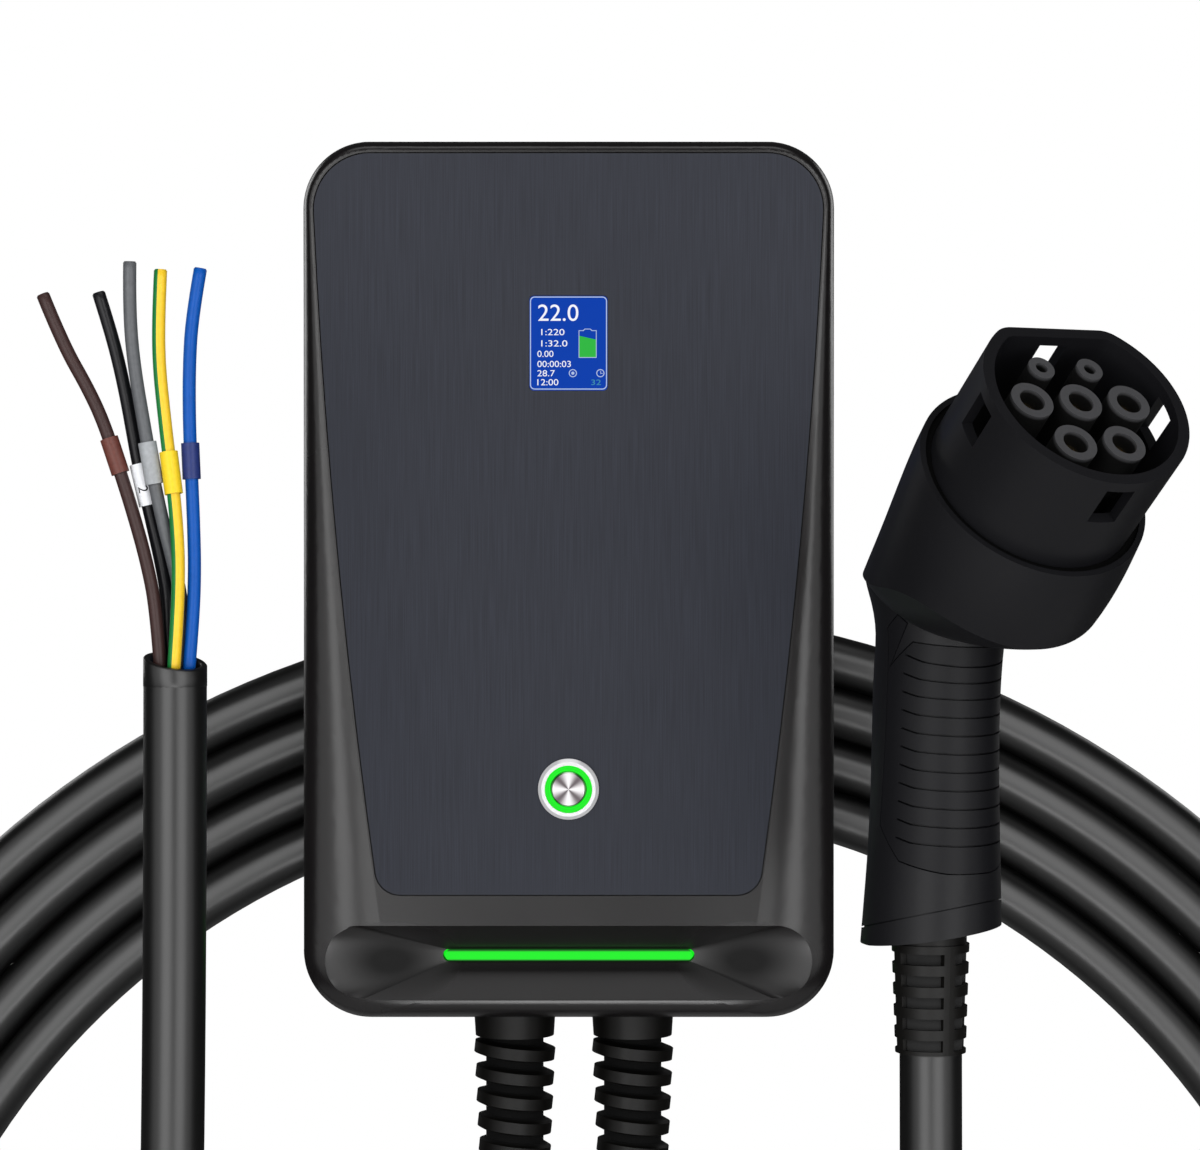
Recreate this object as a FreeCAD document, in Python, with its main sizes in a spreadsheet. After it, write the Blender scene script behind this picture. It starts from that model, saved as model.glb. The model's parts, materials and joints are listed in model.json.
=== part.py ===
import FreeCAD, Part
import math
import os

# Wall charger with a coiled charging cable and a Type 2 connector. Millimetres, +Z up.
# The wall is the plane y = 0, the front faces -Y, and the origin is the centre of the wall screws.

os.makedirs("parts", exist_ok=True)
doc = FreeCAD.newDocument("ev_charger")
V = FreeCAD.Vector
UP = V(0, 0, 1)
FRONT = V(0, -1, 0)
REAR = V(0, 1, 0)
PRECISE = 1e-6

# Driving dimensions
DIMENSIONS = {
    "box_width": 184.8,
    "box_height": 304.8,
    "box_depth": 88.0,
    "wall_gap": 26.0,
    "parting_depth": 50.0,
    "corner_radius": 23.3,
    "wall_thickness": 3.0,
    "roll_depth": 12.0,
    "panel_thickness": 2.0,
    "panel_gap": 0.4,
    "panel_recess": 2.2,
    "screen_width": 26.9,
    "screen_height": 32.4,
    "screen_level": 81.6,
    "button_level": -72.3,
    "bezel_radius": 10.5,
    "barrel_radius": 9.3,
    "ring_radius": 8.1,
    "ring_bore": 6.3,
    "cap_radius": 6.0,
    "bar_length": 86.0,
    "bar_height": 3.5,
    "bar_level": -130.8,
    "scoop_width": 168.8,
    "scoop_height": 25.7,
    "scoop_level": -132.35,
    "scoop_depth": 10.0,
    "cord_diameter": 19.0,
    "gland_depth": 58.0,
    "supply_gland": -20.0,
    "charge_gland": 22.7,
    "relief_length": 94.9,
    "relief_radius": 15.0,
    "rib_pitch": 8.88,
    "plate_width": 148.0,
    "plate_height": 264.0,
    "plate_thickness": 2.5,
    "screw_spacing_x": 80.0,
    "screw_spacing_z": 230.0,
    "screw_hole_radius": 3.0,
    "coil_outer": 352.0,
    "coil_turns": 4.0,
    "turn_pitch": 19.2,
    "coil_x": 15.0,
    "saddle_level": -86.9,
    "shroud_radius": 31.5,
    "shroud_flat": 26.4,
    "shroud_wall": 3.4,
    "shroud_length": 35.6,
    "collar_radius": 35.3,
    "grip_half_width": 18.5,
    "grip_half_depth": 21.5,
    "grip_length": 97.0,
}
D = dict(DIMENSIONS)
sheet = doc.addObject("Spreadsheet::Sheet", "Dimensions")
for row, (name, value) in enumerate(DIMENSIONS.items(), start=1):
    sheet.set(f"A{row}", name)
    sheet.set(f"B{row}", str(value))
    sheet.setAlias(f"B{row}", name)
doc.recompute()

BACK = -D["wall_gap"]
FACE = BACK - D["box_depth"]
PARTING = BACK - D["parting_depth"]
HALF = D["box_width"] / 2
TOP = D["box_height"] / 2
WALL = D["wall_thickness"]
CORD = D["cord_diameter"] / 2


# General helpers
def placed(obj, position=V(0, 0, 0), axis=UP, angle=0.0):
    obj.Placement = FreeCAD.Placement(position, FreeCAD.Rotation(axis, angle))
    return obj


def box(size, corner, label="block"):
    made = doc.addObject("Part::Box", label)
    made.Length, made.Width, made.Height = size
    return placed(made, V(*corner))


def rod(radius, length, position, direction=UP, label="rod"):
    made = doc.addObject("Part::Cylinder", label)
    set_size(made, "Radius", radius)
    set_size(made, "Height", length)
    made.Placement = FreeCAD.Placement(V(*position), FreeCAD.Rotation(UP, direction))
    return made


def cone(radius1, radius2, length, position, direction=UP):
    made = doc.addObject("Part::Cone", "taper")
    made.Radius1 = radius1
    made.Radius2 = radius2
    made.Height = length
    made.Placement = FreeCAD.Placement(V(*position), FreeCAD.Rotation(UP, direction))
    return made


def hexagon(radius, height, position, direction=UP, turn=0.0):
    made = doc.addObject("Part::Prism", "nut_form")
    made.Polygon = 6
    made.Circumradius = radius
    made.Height = height
    aim = FreeCAD.Rotation(UP, direction).multiply(FreeCAD.Rotation(UP, turn))
    made.Placement = FreeCAD.Placement(V(*position), aim)
    return made


def cut(base, *tools, label="cut"):
    for tool in tools:
        made = doc.addObject("Part::Cut", label)
        made.Base = base
        made.Tool = tool
        base = made
    return base


def fuse(*shapes, label="joined"):
    if len(shapes) == 1:
        return shapes[0]
    made = doc.addObject("Part::MultiFuse", label)
    made.Shapes = list(shapes)
    made.Refine = True
    return made


def common(*shapes, label="shared"):
    made = doc.addObject("Part::MultiCommon", label)
    made.Shapes = list(shapes)
    return made


def group(*shapes, label="group"):
    made = doc.addObject("Part::Compound", label)
    made.Links = list(shapes)
    return made


def feature(shape, label="form"):
    made = doc.addObject("Part::Feature", label)
    made.Shape = shape
    return made


def new_body(label):
    return doc.addObject("PartDesign::Body", label)


def set_size(made, prop, value):
    """A size is a number, or a formula of the sheet's names."""
    if isinstance(value, str):
        made.setExpression(prop, value)
    else:
        setattr(made, prop, value)


def sketch_on(body, role, geometry, offset=0.0):
    sketch = body.newObject("Sketcher::SketchObject", "profile")
    plane = next(p for p in body.Origin.OriginFeatures if p.Role == role)
    sketch.AttachmentSupport = [(plane, "")]
    sketch.MapMode = "FlatFace"
    sketch.AttachmentOffset = FreeCAD.Placement(V(0, 0, offset), FreeCAD.Rotation())
    sketch.addGeometry(geometry, False)
    return sketch


def pad(body, sketch, length, reverse=False):
    made = body.newObject("PartDesign::Pad", "pad")
    made.Profile = sketch
    made.Reversed = reverse
    set_size(made, "Length", length)
    return made


def pocket(body, sketch, length, reverse=False):
    made = body.newObject("PartDesign::Pocket", "pocket")
    made.Profile = sketch
    made.Reversed = reverse
    set_size(made, "Length", length)
    return made


def revolved(body, points, role="XZ_Plane"):
    sketch = sketch_on(body, role, polygon(points))
    made = body.newObject("PartDesign::Revolution", "turned")
    made.Profile = sketch
    made.ReferenceAxis = (sketch, ["V_Axis"])
    made.Angle = 360
    return made


def polygon(points):
    flat = [V(x, y, 0) for x, y in points]
    return [Part.LineSegment(a, b) for a, b in zip(flat, flat[1:] + flat[:1])]


def rounded(half_x, half_y, radius, x=0.0, y=0.0):
    """A rectangle with round corners, clockwise from its top line."""
    short = radius * (1 - math.sqrt(0.5))
    edges = []
    for sx, sy, along_x in ((1, 1, True), (1, -1, False), (-1, -1, True), (-1, 1, False)):
        corner = V(x + sx * half_x, y + sy * half_y, 0)
        level = corner - V(sx * radius, 0, 0)
        upright = corner - V(0, sy * radius, 0)
        middle = corner - V(sx * short, sy * short, 0)
        first, last = (level, upright) if along_x else (upright, level)
        edges.append((first, middle, last))
    drawn = []
    for k, (first, middle, last) in enumerate(edges):
        drawn.append(Part.LineSegment(edges[k - 1][2], first))
        drawn.append(Part.Arc(first, middle, last))
    return drawn


def stadium(half_x, half_y, y=0.0):
    straight = half_x - half_y
    return [
        Part.LineSegment(V(-straight, y + half_y, 0), V(straight, y + half_y, 0)),
        Part.Arc(V(straight, y + half_y, 0), V(half_x, y, 0), V(straight, y - half_y, 0)),
        Part.LineSegment(V(straight, y - half_y, 0), V(-straight, y - half_y, 0)),
        Part.Arc(V(-straight, y - half_y, 0), V(-half_x, y, 0), V(-straight, y + half_y, 0)),
    ]


def slab(label, geometry, front, length):
    """A flat piece drawn in the XZ plane, from y = front and length deep towards the wall."""
    body = new_body(label)
    pad(body, sketch_on(body, "XZ_Plane", geometry, -front), length, True)
    return body


nodes = {}


def node(label, obj):
    obj.Label = label
    nodes[label] = obj
    return obj


# Outline of the front: a rectangle at the parting line, a bowed trapezoid at the face
SIDE_LEVELS = (140.0, 20.0, -145.0)
FLAT_WIDTHS = (89.3, 81.4, 61.0)
FLAT = {"widths": FLAT_WIDTHS, "high": TOP - 4.4, "low": -TOP + 7.1, "upper": 20.0, "lower": 11.0}
RIM = {"widths": (HALF,) * 3, "high": TOP, "low": -TOP,
       "upper": D["corner_radius"], "lower": D["corner_radius"]}


def inset(outline, amount):
    return {"widths": tuple(w - amount for w in outline["widths"]),
            "high": outline["high"] - amount, "low": outline["low"] + amount,
            "upper": outline["upper"] - amount, "lower": outline["lower"] - amount}


def between(first, second, share):
    mix = {}
    for key in first:
        a, b = first[key], second[key]
        if isinstance(a, tuple):
            mix[key] = tuple(p + (q - p) * share for p, q in zip(a, b))
        else:
            mix[key] = a + (b - a) * share
    return mix


def side_circle(widths):
    """Centre and radius of the circle through the three half widths, or None for a straight side."""
    ax, bx, cx = widths
    ay, by, cy = SIDE_LEVELS
    turn = 2 * (ax * (by - cy) + bx * (cy - ay) + cx * (ay - by))
    if abs(turn) < PRECISE:
        return None
    a, b, c = ax * ax + ay * ay, bx * bx + by * by, cx * cx + cy * cy
    x = (a * (by - cy) + b * (cy - ay) + c * (ay - by)) / turn
    y = (a * (cx - bx) + b * (ax - cx) + c * (bx - ax)) / turn
    return x, y, math.hypot(ax - x, ay - y)


def right_side(form):
    """Corner arc, side and corner arc on the right, each as its first, middle and last point."""
    bow = side_circle(form["widths"])
    corners = []
    for level, radius, sign in ((form["high"], form["upper"], -1), (form["low"], form["lower"], 1)):
        centre_y = level + sign * radius
        if bow is None:
            centre_x = form["widths"][0] - radius
            on_side = V(form["widths"][0], centre_y, 0)
        else:
            x, y, big = bow
            centre_x = x + math.sqrt((big - radius) ** 2 - (centre_y - y) ** 2)
            scale = big / (big - radius)
            on_side = V(x + (centre_x - x) * scale, y + (centre_y - y) * scale, 0)
        centre = V(centre_x, centre_y, 0)
        on_level = V(centre_x, level, 0)
        half = (on_side + on_level) * 0.5 - centre
        half.normalize()
        corners.append((on_level, centre + half * radius, on_side))
    top, bottom = corners[0], corners[1][::-1]
    middle = None
    if bow is not None:
        x, y, big = bow
        angle = (math.atan2(top[2].y - y, top[2].x - x) + math.atan2(bottom[0].y - y, bottom[0].x - x)) / 2
        middle = V(x + big * math.cos(angle), y + big * math.sin(angle), 0)
    return [top, (top[2], middle, bottom[0]), bottom]


def outline_edges(form):
    """Eight edges, clockwise from the top line, of an outline that is the same on both sides."""
    right = right_side(form)
    left = [tuple(None if p is None else V(-p.x, p.y, 0) for p in reversed(piece)) for piece in reversed(right)]

    def drawn(piece):
        first, middle, last = piece
        return Part.LineSegment(first, last) if middle is None else Part.Arc(first, middle, last)

    top = Part.LineSegment(left[2][2], right[0][0])
    bottom = Part.LineSegment(right[2][2], left[0][0])
    return [top, *map(drawn, right), bottom, *map(drawn, left)]


# Front shell
ROLL_ANGLES = (0, 22, 45, 68, 90)
SCOOP_FLOOR = FACE + D["scoop_depth"]
BAR_SLOT = (D["bar_length"] / 2 + 0.8, D["bar_height"] / 2 + 0.4)
CAVITY_FRONT = FACE + D["panel_recess"] + 2.8
CAVITY_STEP = FACE + D["roll_depth"] + 4.0
CHEEK_NEAR, CHEEK_FAR = 0.9, 4.6


def end_curve(half_x, half_z, level, tilt, centre_z, sign):
    """Half an ellipse at one end of a stadium, tilted back by tilt at its tip, from top to bottom."""
    straight = half_x - half_z
    points = []
    for step in range(9):
        angle = math.pi / 2 - math.pi * step / 8
        points.append(V(sign * (straight + half_z * math.cos(angle)), level + tilt * math.cos(angle),
                        centre_z + half_z * math.sin(angle)))
    if sign < 0:
        points.reverse()
    along = V(sign * half_z, tilt, 0)
    curve = Part.BSplineCurve()
    curve.interpolate(Points=points, InitialTangent=along, FinalTangent=along * -1.0)
    return curve.toShape()


def scoop_ring(half_x, half_z, level, tilt, centre_z):
    straight = half_x - half_z
    high, low = centre_z + half_z, centre_z - half_z
    return [
        Part.LineSegment(V(-straight, level, high), V(straight, level, high)).toShape(),
        end_curve(half_x, half_z, level, tilt, centre_z, 1),
        Part.LineSegment(V(straight, level, low), V(-straight, level, low)).toShape(),
        end_curve(half_x, half_z, level, tilt, centre_z, -1),
    ]


def scoop_cutter():
    """A stadium mouth that follows the sloping cheeks, and planes and cones down to the light slot."""
    mouth_x, mouth_z = D["scoop_width"] / 2, D["scoop_height"] / 2
    outer = scoop_ring(mouth_x, mouth_z, FACE - 4.0, 0.0, D["scoop_level"])
    mouth = scoop_ring(mouth_x, mouth_z, FACE + CHEEK_NEAR, CHEEK_FAR - CHEEK_NEAR, D["scoop_level"])
    floor = scoop_ring(*BAR_SLOT, SCOOP_FLOOR, 0.0, D["bar_level"])
    faces = [Part.makeFace(Part.Wire(ring), "Part::FaceMakerSimple") for ring in (outer, floor)]
    for above, below in ((outer, mouth), (mouth, floor)):
        faces += [Part.makeRuledSurface(a, b) for a, b in zip(above, below)]
    shell = Part.Shell(faces)
    shell.sewShape()
    solid = Part.Solid(shell)
    if solid.Volume < 0:
        solid.reverse()
    return solid


PANEL_WIDTHS = tuple(w - 0.9 for w in FLAT_WIDTHS)
PANEL = {"widths": PANEL_WIDTHS, "high": TOP - 5.3, "low": -108.8, "upper": 19.3, "lower": 8.6}
PANEL_SEAT = inset(PANEL, -D["panel_gap"])
PANEL_BACK = FACE + D["panel_recess"]


def front_shell():
    body = new_body("front_shell_form")
    start = sketch_on(body, "XZ_Plane", outline_edges(RIM), -PARTING)
    pad(body, start, "Dimensions.box_depth - Dimensions.parting_depth - Dimensions.roll_depth")
    sections = []
    for angle in ROLL_ANGLES:
        turn = math.radians(angle)
        form = between(RIM, FLAT, 1 - math.cos(turn))
        level = -FACE - D["roll_depth"] * (1 - math.sin(turn))
        sections.append(sketch_on(body, "XZ_Plane", outline_edges(form), level))
    loft = body.newObject("PartDesign::AdditiveLoft", "cheeks")
    loft.Profile = sections[0]
    loft.Sections = sections[1:]
    loft.Ruled = False
    pocket(body, sketch_on(body, "XZ_Plane", outline_edges(inset(RIM, WALL)), -PARTING),
           PARTING - CAVITY_STEP, True)
    upper = dict(inset(FLAT, 5.0))
    upper["low"] = D["scoop_level"] + D["scoop_height"] / 2 + 4.0
    pocket(body, sketch_on(body, "XZ_Plane", outline_edges(upper), -CAVITY_STEP),
           CAVITY_STEP - CAVITY_FRONT, True)
    pocket(body, sketch_on(body, "XZ_Plane", outline_edges(PANEL_SEAT), -FACE), "Dimensions.panel_recess")
    return body


def front_holes(extra):
    """The screen's window and the button's hole, extra wider than those two, right through the front."""
    window = slab("window", rounded(D["screen_width"] / 2 + extra, D["screen_height"] / 2 + extra, 1.7, 0,
                                    D["screen_level"]), FACE - 1, 12)
    hole = rod(D["barrel_radius"] + 0.2, 14, (0, FACE - 1, D["button_level"]), REAR)
    return window, hole


bar_slot = slab("bar_slot", stadium(*BAR_SLOT, D["bar_level"]), FACE, 30)
shell_form = cut(front_shell(), feature(scoop_cutter(), "scoop"), bar_slot, *front_holes(0.3))

# Front panel, a brushed plate in a shallow seat
panel_form = slab("panel_form", outline_edges(PANEL), PANEL_BACK - D["panel_thickness"], "Dimensions.panel_thickness")
node("front_panel", cut(panel_form, *front_holes(0.2)))

# Screen, push button and light bar in the front
SCREEN_FRONT = FACE + 0.3
node("display_screen", slab("screen_form", rounded(D["screen_width"] / 2, D["screen_height"] / 2, 1.5, 0,
                                                   D["screen_level"]), SCREEN_FRONT, CAVITY_FRONT - SCREEN_FRONT))
MODULE_SIZE = (36.0, 3.4, 44.0)
node("display_module", box(MODULE_SIZE, (-MODULE_SIZE[0] / 2, CAVITY_FRONT, D["screen_level"] - MODULE_SIZE[2] / 2)))


def turned_about_y(label, points, level):
    """A solid of revolution about the Y axis; points are (radius, distance behind the face plane)."""
    body = new_body(label)
    revolved(body, [(radius, -depth) for radius, depth in points])
    body.Placement = FreeCAD.Placement(V(0, FACE, level), FreeCAD.Rotation(V(1, 0, 0), 90))
    return body


RING_SEAT = D["ring_radius"] + 0.1
bezel_profile = [
    (RING_SEAT, -1.9), (D["bezel_radius"] - 1.1, -1.9), (D["bezel_radius"], -0.9), (D["bezel_radius"], 0.2),
    (D["barrel_radius"], 0.2), (D["barrel_radius"], 24.0), (0, 24.0), (0, 20.0), (6.8, 20.0), (6.8, 6.0),
    (RING_SEAT, 6.0),
]
node("button_body", turned_about_y("button_body_form", bezel_profile, D["button_level"]))
ring_profile = [(D["ring_bore"], -1.7), (D["ring_radius"], -1.7), (D["ring_radius"], 6.0), (D["ring_bore"], 6.0)]
node("button_ring", turned_about_y("button_ring_form", ring_profile, D["button_level"]))
cap_profile = [(0, -2.1), (D["cap_radius"] - 0.5, -2.1), (D["cap_radius"], -1.6), (D["cap_radius"], 8.0),
               (2.0, 8.0), (2.0, 14.0), (0, 14.0)]
node("button_cap", turned_about_y("button_cap_form", cap_profile, D["button_level"]))
nut = hexagon(13.6, 4.0, (0, CAVITY_FRONT, D["button_level"]), REAR)
node("button_nut", cut(nut, rod(D["barrel_radius"], 8, (0, CAVITY_FRONT - 2, D["button_level"]), REAR)))

bar_form = slab("bar_form", stadium(D["bar_length"] / 2, D["bar_height"] / 2, D["bar_level"]),
                SCOOP_FLOOR - 0.8, CAVITY_STEP - SCOOP_FLOOR + 0.8)
bar_foot = slab("bar_foot", stadium(BAR_SLOT[0] + 2.6, BAR_SLOT[1] + 2.6, D["bar_level"]), CAVITY_STEP, 1.4)
node("light_bar", fuse(bar_form, bar_foot))
node("light_bar_board", box((96, 1.6, 12), (-48, CAVITY_STEP + 1.4, D["bar_level"] - 6)))

# Back housing with the cable holes and screw bosses
GLANDS = {"supply": D["supply_gland"], "charge": D["charge_gland"]}
GLAND_Y = -D["gland_depth"]
THREAD = 12.6
BOSSES = [(sx * (HALF - 9.6), z) for sx in (-1, 1) for z in (TOP - 16, 0.0, -TOP + 16)]
POSTS = [(sx * 60.0, z) for sx in (-1, 1) for z in (100.0, -118.0)]


def back_housing():
    body = new_body("back_housing_form")
    first = pad(body, sketch_on(body, "XZ_Plane", outline_edges(RIM), -BACK), "Dimensions.parting_depth")
    doc.recompute()
    rear = [f"Edge{k + 1}" for k, edge in enumerate(first.Shape.Edges)
            if abs(edge.BoundBox.YMin - BACK) < 0.01 and abs(edge.BoundBox.YMax - BACK) < 0.01]
    soft = body.newObject("PartDesign::Fillet", "rear_edges")
    soft.Base = (first, rear)
    soft.Radius = 6.0
    pocket(body, sketch_on(body, "XZ_Plane", outline_edges(inset(RIM, WALL)), -PARTING),
           "Dimensions.parting_depth - Dimensions.wall_thickness")
    groove = sketch_on(body, "XZ_Plane", outline_edges(inset(RIM, 0.8)) + outline_edges(inset(RIM, 2.2)), -PARTING)
    pocket(body, groove, 1.5)
    return body


bosses = [rod(5.0, D["parting_depth"] - WALL + 0.5, (x, BACK - WALL + 0.5, z), FRONT) for x, z in BOSSES]
boss_holes = [rod(2.1, 60, (x, BACK + 1, z), FRONT) for x, z in BOSSES]
head_holes = [rod(4.2, 6, (x, BACK + 1, z), FRONT) for x, z in BOSSES]
gland_holes = [rod(THREAD + 0.1, 8, (x, GLAND_Y, -TOP - 2)) for x in GLANDS.values()]
post_holes = [rod(2.2, 8, (x, BACK + 2, z), FRONT) for x, z in POSTS]
housing = fuse(back_housing(), *bosses, label="housing_with_bosses")
node("back_housing", cut(housing, *boss_holes, *head_holes, *gland_holes, *post_holes))
node("housing_gasket", slab("gasket_form", outline_edges(inset(RIM, 0.9)) + outline_edges(inset(RIM, 2.1)),
                            PARTING, 1.5))


def screw(x, y, z, direction, head_radius, head_height, shank_radius, shank_length):
    """Pan-head screw: the head's underside is at (x, y, z) and the shank runs along direction."""
    start = V(x, y, z) - direction * head_height
    head = rod(head_radius, head_height, tuple(start), direction)
    shank = rod(shank_radius, shank_length, (x, y, z), direction)
    drive = rod(head_radius * 0.35, head_height * 0.5, tuple(start), direction)
    return cut(fuse(head, shank), drive)


FRONT_BOSS = 14.0
front_bosses = [rod(5.0, PARTING - CAVITY_STEP + 1, (x, PARTING, z), FRONT) for x, z in BOSSES]
front_boss_holes = [rod(2.0, FRONT_BOSS, (x, PARTING + 1, z), FRONT) for x, z in BOSSES]
shell = fuse(shell_form, *front_bosses, label="shell_with_bosses")
node("front_shell", cut(shell, *front_boss_holes))
HEAD_FLOOR = BACK + 1 - 6
node("housing_screws", group(*[screw(x, HEAD_FLOOR, z, FRONT, 3.9, 3.0, 1.9, 56.0) for x, z in BOSSES]))

# Wall bracket with a saddle for the coil
PLATE = D["plate_thickness"]
COIL_BACK = -PLATE - 0.7
COIL_FRONT = COIL_BACK - D["cord_diameter"]
COIL_INNER = D["coil_outer"] - (D["coil_turns"] - 1) * D["turn_pitch"] - D["cord_diameter"]
SADDLE = COIL_INNER - 0.3
COIL_Z = D["saddle_level"] - SADDLE
SADDLE_ANGLE = 0.2


def arc_band(outer, inner, half_angle, front, length, label):
    """Part of a ring round the coil's centre, centred on straight up."""
    x, z = D["coil_x"], COIL_Z
    low, high = math.pi / 2 - half_angle, math.pi / 2 + half_angle

    def at(radius, angle):
        return V(x + radius * math.cos(angle), z + radius * math.sin(angle), 0)

    edges = [
        Part.Arc(at(outer, low), at(outer, math.pi / 2), at(outer, high)),
        Part.LineSegment(at(outer, high), at(inner, high)),
        Part.Arc(at(inner, high), at(inner, math.pi / 2), at(inner, low)),
        Part.LineSegment(at(inner, low), at(outer, low)),
    ]
    return slab(label, edges, front, length)


plate_outline = rounded(D["plate_width"] / 2, D["plate_height"] / 2, 8)
plate_form = slab("plate_form", plate_outline, -PLATE, "Dimensions.plate_thickness")
LIP_FRONT = COIL_FRONT - 2.5
shelf = arc_band(SADDLE, SADDLE - 3.0, SADDLE_ANGLE, LIP_FRONT, -LIP_FRONT - PLATE + 0.5, "saddle_shelf")
lip = arc_band(SADDLE + 11.0, SADDLE - 3.0, SADDLE_ANGLE, LIP_FRONT, 2.0, "saddle_lip")
posts = [rod(7.0, D["wall_gap"] - PLATE + 0.5, (x, -PLATE + 0.5, z), FRONT) for x, z in POSTS]
bracket = fuse(plate_form, shelf, lip, *posts, label="bracket_joined")
screw_places = [(sx * D["screw_spacing_x"] / 2, sz * D["screw_spacing_z"] / 2) for sx in (-1, 1) for sz in (-1, 1)]
wall_holes = [rod("Dimensions.screw_hole_radius", PLATE + 2, (x, 1, z), FRONT) for x, z in screw_places]
post_threads = [rod(2.0, 16, (x, BACK - 1, z), REAR) for x, z in POSTS]
node("wall_bracket", cut(bracket, *wall_holes, *post_threads))
node("bracket_screws", group(*[screw(x, BACK - WALL, z, REAR, 3.9, 3.0, 1.95, 15.0) for x, z in POSTS]))

# Ribbed strain reliefs and their nuts
RELIEF_LOW = -TOP - D["relief_length"]
COLLAR_HEIGHT = 12.5
THREAD_HEIGHT = 11.0
RIB_TILT = 6.3
RIB_COUNT = 9
ROOT = CORD + 0.9
BORE = CORD + 0.15


def strain_relief(x):
    core = rod(ROOT, D["relief_length"] + THREAD_HEIGHT, (x, GLAND_Y, RELIEF_LOW))
    thread = rod(THREAD, THREAD_HEIGHT, (x, GLAND_Y, -TOP))
    collar = cone(D["relief_radius"], D["relief_radius"] - 0.8, COLLAR_HEIGHT, (x, GLAND_Y, -TOP), V(0, 0, -1))
    ribs = []
    for k in range(RIB_COUNT):
        level = -TOP - COLLAR_HEIGHT - 5.4 - k * D["rib_pitch"]
        radius = D["relief_radius"] - 0.045 * (k + 1) * D["rib_pitch"]
        body = new_body("rib")
        revolved(body, [(0, -3.3), (ROOT, -3.3), (radius, -2.0), (radius, 2.0), (ROOT, 3.3), (0, 3.3)])
        body.Placement = FreeCAD.Placement(V(x, GLAND_Y, level), FreeCAD.Rotation(REAR, RIB_TILT))
        ribs.append(body)
    solid = fuse(core, thread, collar, *ribs, label="relief_joined")
    return cut(solid, rod(BORE, D["relief_length"] + THREAD_HEIGHT + 2, (x, GLAND_Y, RELIEF_LOW - 1)))


node("supply_relief", strain_relief(GLANDS["supply"]))
node("charge_relief", strain_relief(GLANDS["charge"]))
GLAND_NUT = 5.0
gland_nuts = []
for x in GLANDS.values():
    nut = hexagon(18.5, GLAND_NUT, (x, GLAND_Y, -TOP + WALL), UP, 30)
    gland_nuts.append(cut(nut, rod(THREAD, GLAND_NUT + 2, (x, GLAND_Y, -TOP + WALL - 1))))
node("gland_nuts", group(*gland_nuts))

# Boards and parts inside
INNER_BACK = BACK - WALL
PCB = 1.6
CONTROL = {"size": (130.0, 125.0), "low": 2.0, "front": -66.8}
POWER = {"size": (134.0, 72.0), "low": -76.0, "front": -46.8}


def board(spec):
    width, height = spec["size"]
    return box((width, PCB, height), (-width / 2, spec["front"], spec["low"]))


def standoffs(spec):
    width, height = spec["size"]
    length = INNER_BACK - spec["front"] - PCB
    return [rod(3.0, length, (sx * (width / 2 - 6), INNER_BACK, z), FRONT)
            for sx in (-1, 1) for z in (spec["low"] + 6, spec["low"] + height - 6)]


node("control_board", board(CONTROL))
node("power_board", board(POWER))
node("board_posts", group(*standoffs(CONTROL), *standoffs(POWER)))
POWER_TOP = POWER["low"] + POWER["size"][1]
node("relays", group(*[box((30, 26, 24), (x, POWER["front"] - 26, POWER_TOP - 30)) for x in (-34, 12)]))
node("capacitors", group(*[rod(6.5, 22, (x, POWER["front"], POWER_TOP - 14), FRONT) for x in (-52, 56)]))
TRANSFORMER_CORNER = (15 - CONTROL["size"][0] / 2, CONTROL["front"] - 24, CONTROL["low"] + 80)
node("transformer", box((36, 24, 30), TRANSFORMER_CORNER))
TERMINAL = (9.0, 14.0, 13.0)
TERMINAL_PITCH = 10.0
TERMINAL_ROWS = {"input_terminals": -34.0, "output_terminals": 34.0}


def terminal_row(centre):
    blocks = []
    for k in range(5):
        x = centre + (k - 2) * TERMINAL_PITCH
        block = box(TERMINAL, (x - TERMINAL[0] / 2, POWER["front"] - TERMINAL[1], POWER["low"] + 1))
        wire_way = rod(2.5, 8, (x, POWER["front"] - TERMINAL[1] / 2, POWER["low"]))
        driver_way = rod(2.2, 5, (x, POWER["front"] - TERMINAL[1] - 1, POWER["low"] + 1 + TERMINAL[2] / 2), REAR)
        blocks.append(cut(block, wire_way, driver_way))
    return group(*blocks)


for label, centre in TERMINAL_ROWS.items():
    node(label, terminal_row(centre))

# Cords: straight runs joined by tangent arcs
BEND_SHARE = 0.45


def route_wire(points, name=None):
    """A wire along the points, each corner rounded as far as its two runs allow."""
    spots = [V(*p) for p in points]
    edges, radii = [], []
    start = spots[0]
    for before, corner, after in zip(spots, spots[1:], spots[2:]):
        arriving, leaving = corner - before, after - corner
        turn = arriving.getAngle(leaving)
        reach = BEND_SHARE * min(arriving.Length, leaving.Length)
        radii.append(reach / math.tan(turn / 2))
        arriving.normalize()
        leaving.normalize()
        first, last = corner - arriving * reach, corner + leaving * reach
        inward = leaving - arriving
        inward.normalize()
        middle = corner + inward * (radii[-1] / math.cos(turn / 2) - radii[-1])
        edges.append(Part.LineSegment(start, first).toShape())
        edges.append(Part.Arc(first, middle, last).toShape())
        start = last
    edges.append(Part.LineSegment(start, spots[-1]).toShape())
    wire = Part.Wire(edges)
    if name:
        print(f"{name}: length {wire.Length:.0f}, arc radii", *(f"{r:.0f}" for r in radii))
    return wire


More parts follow.
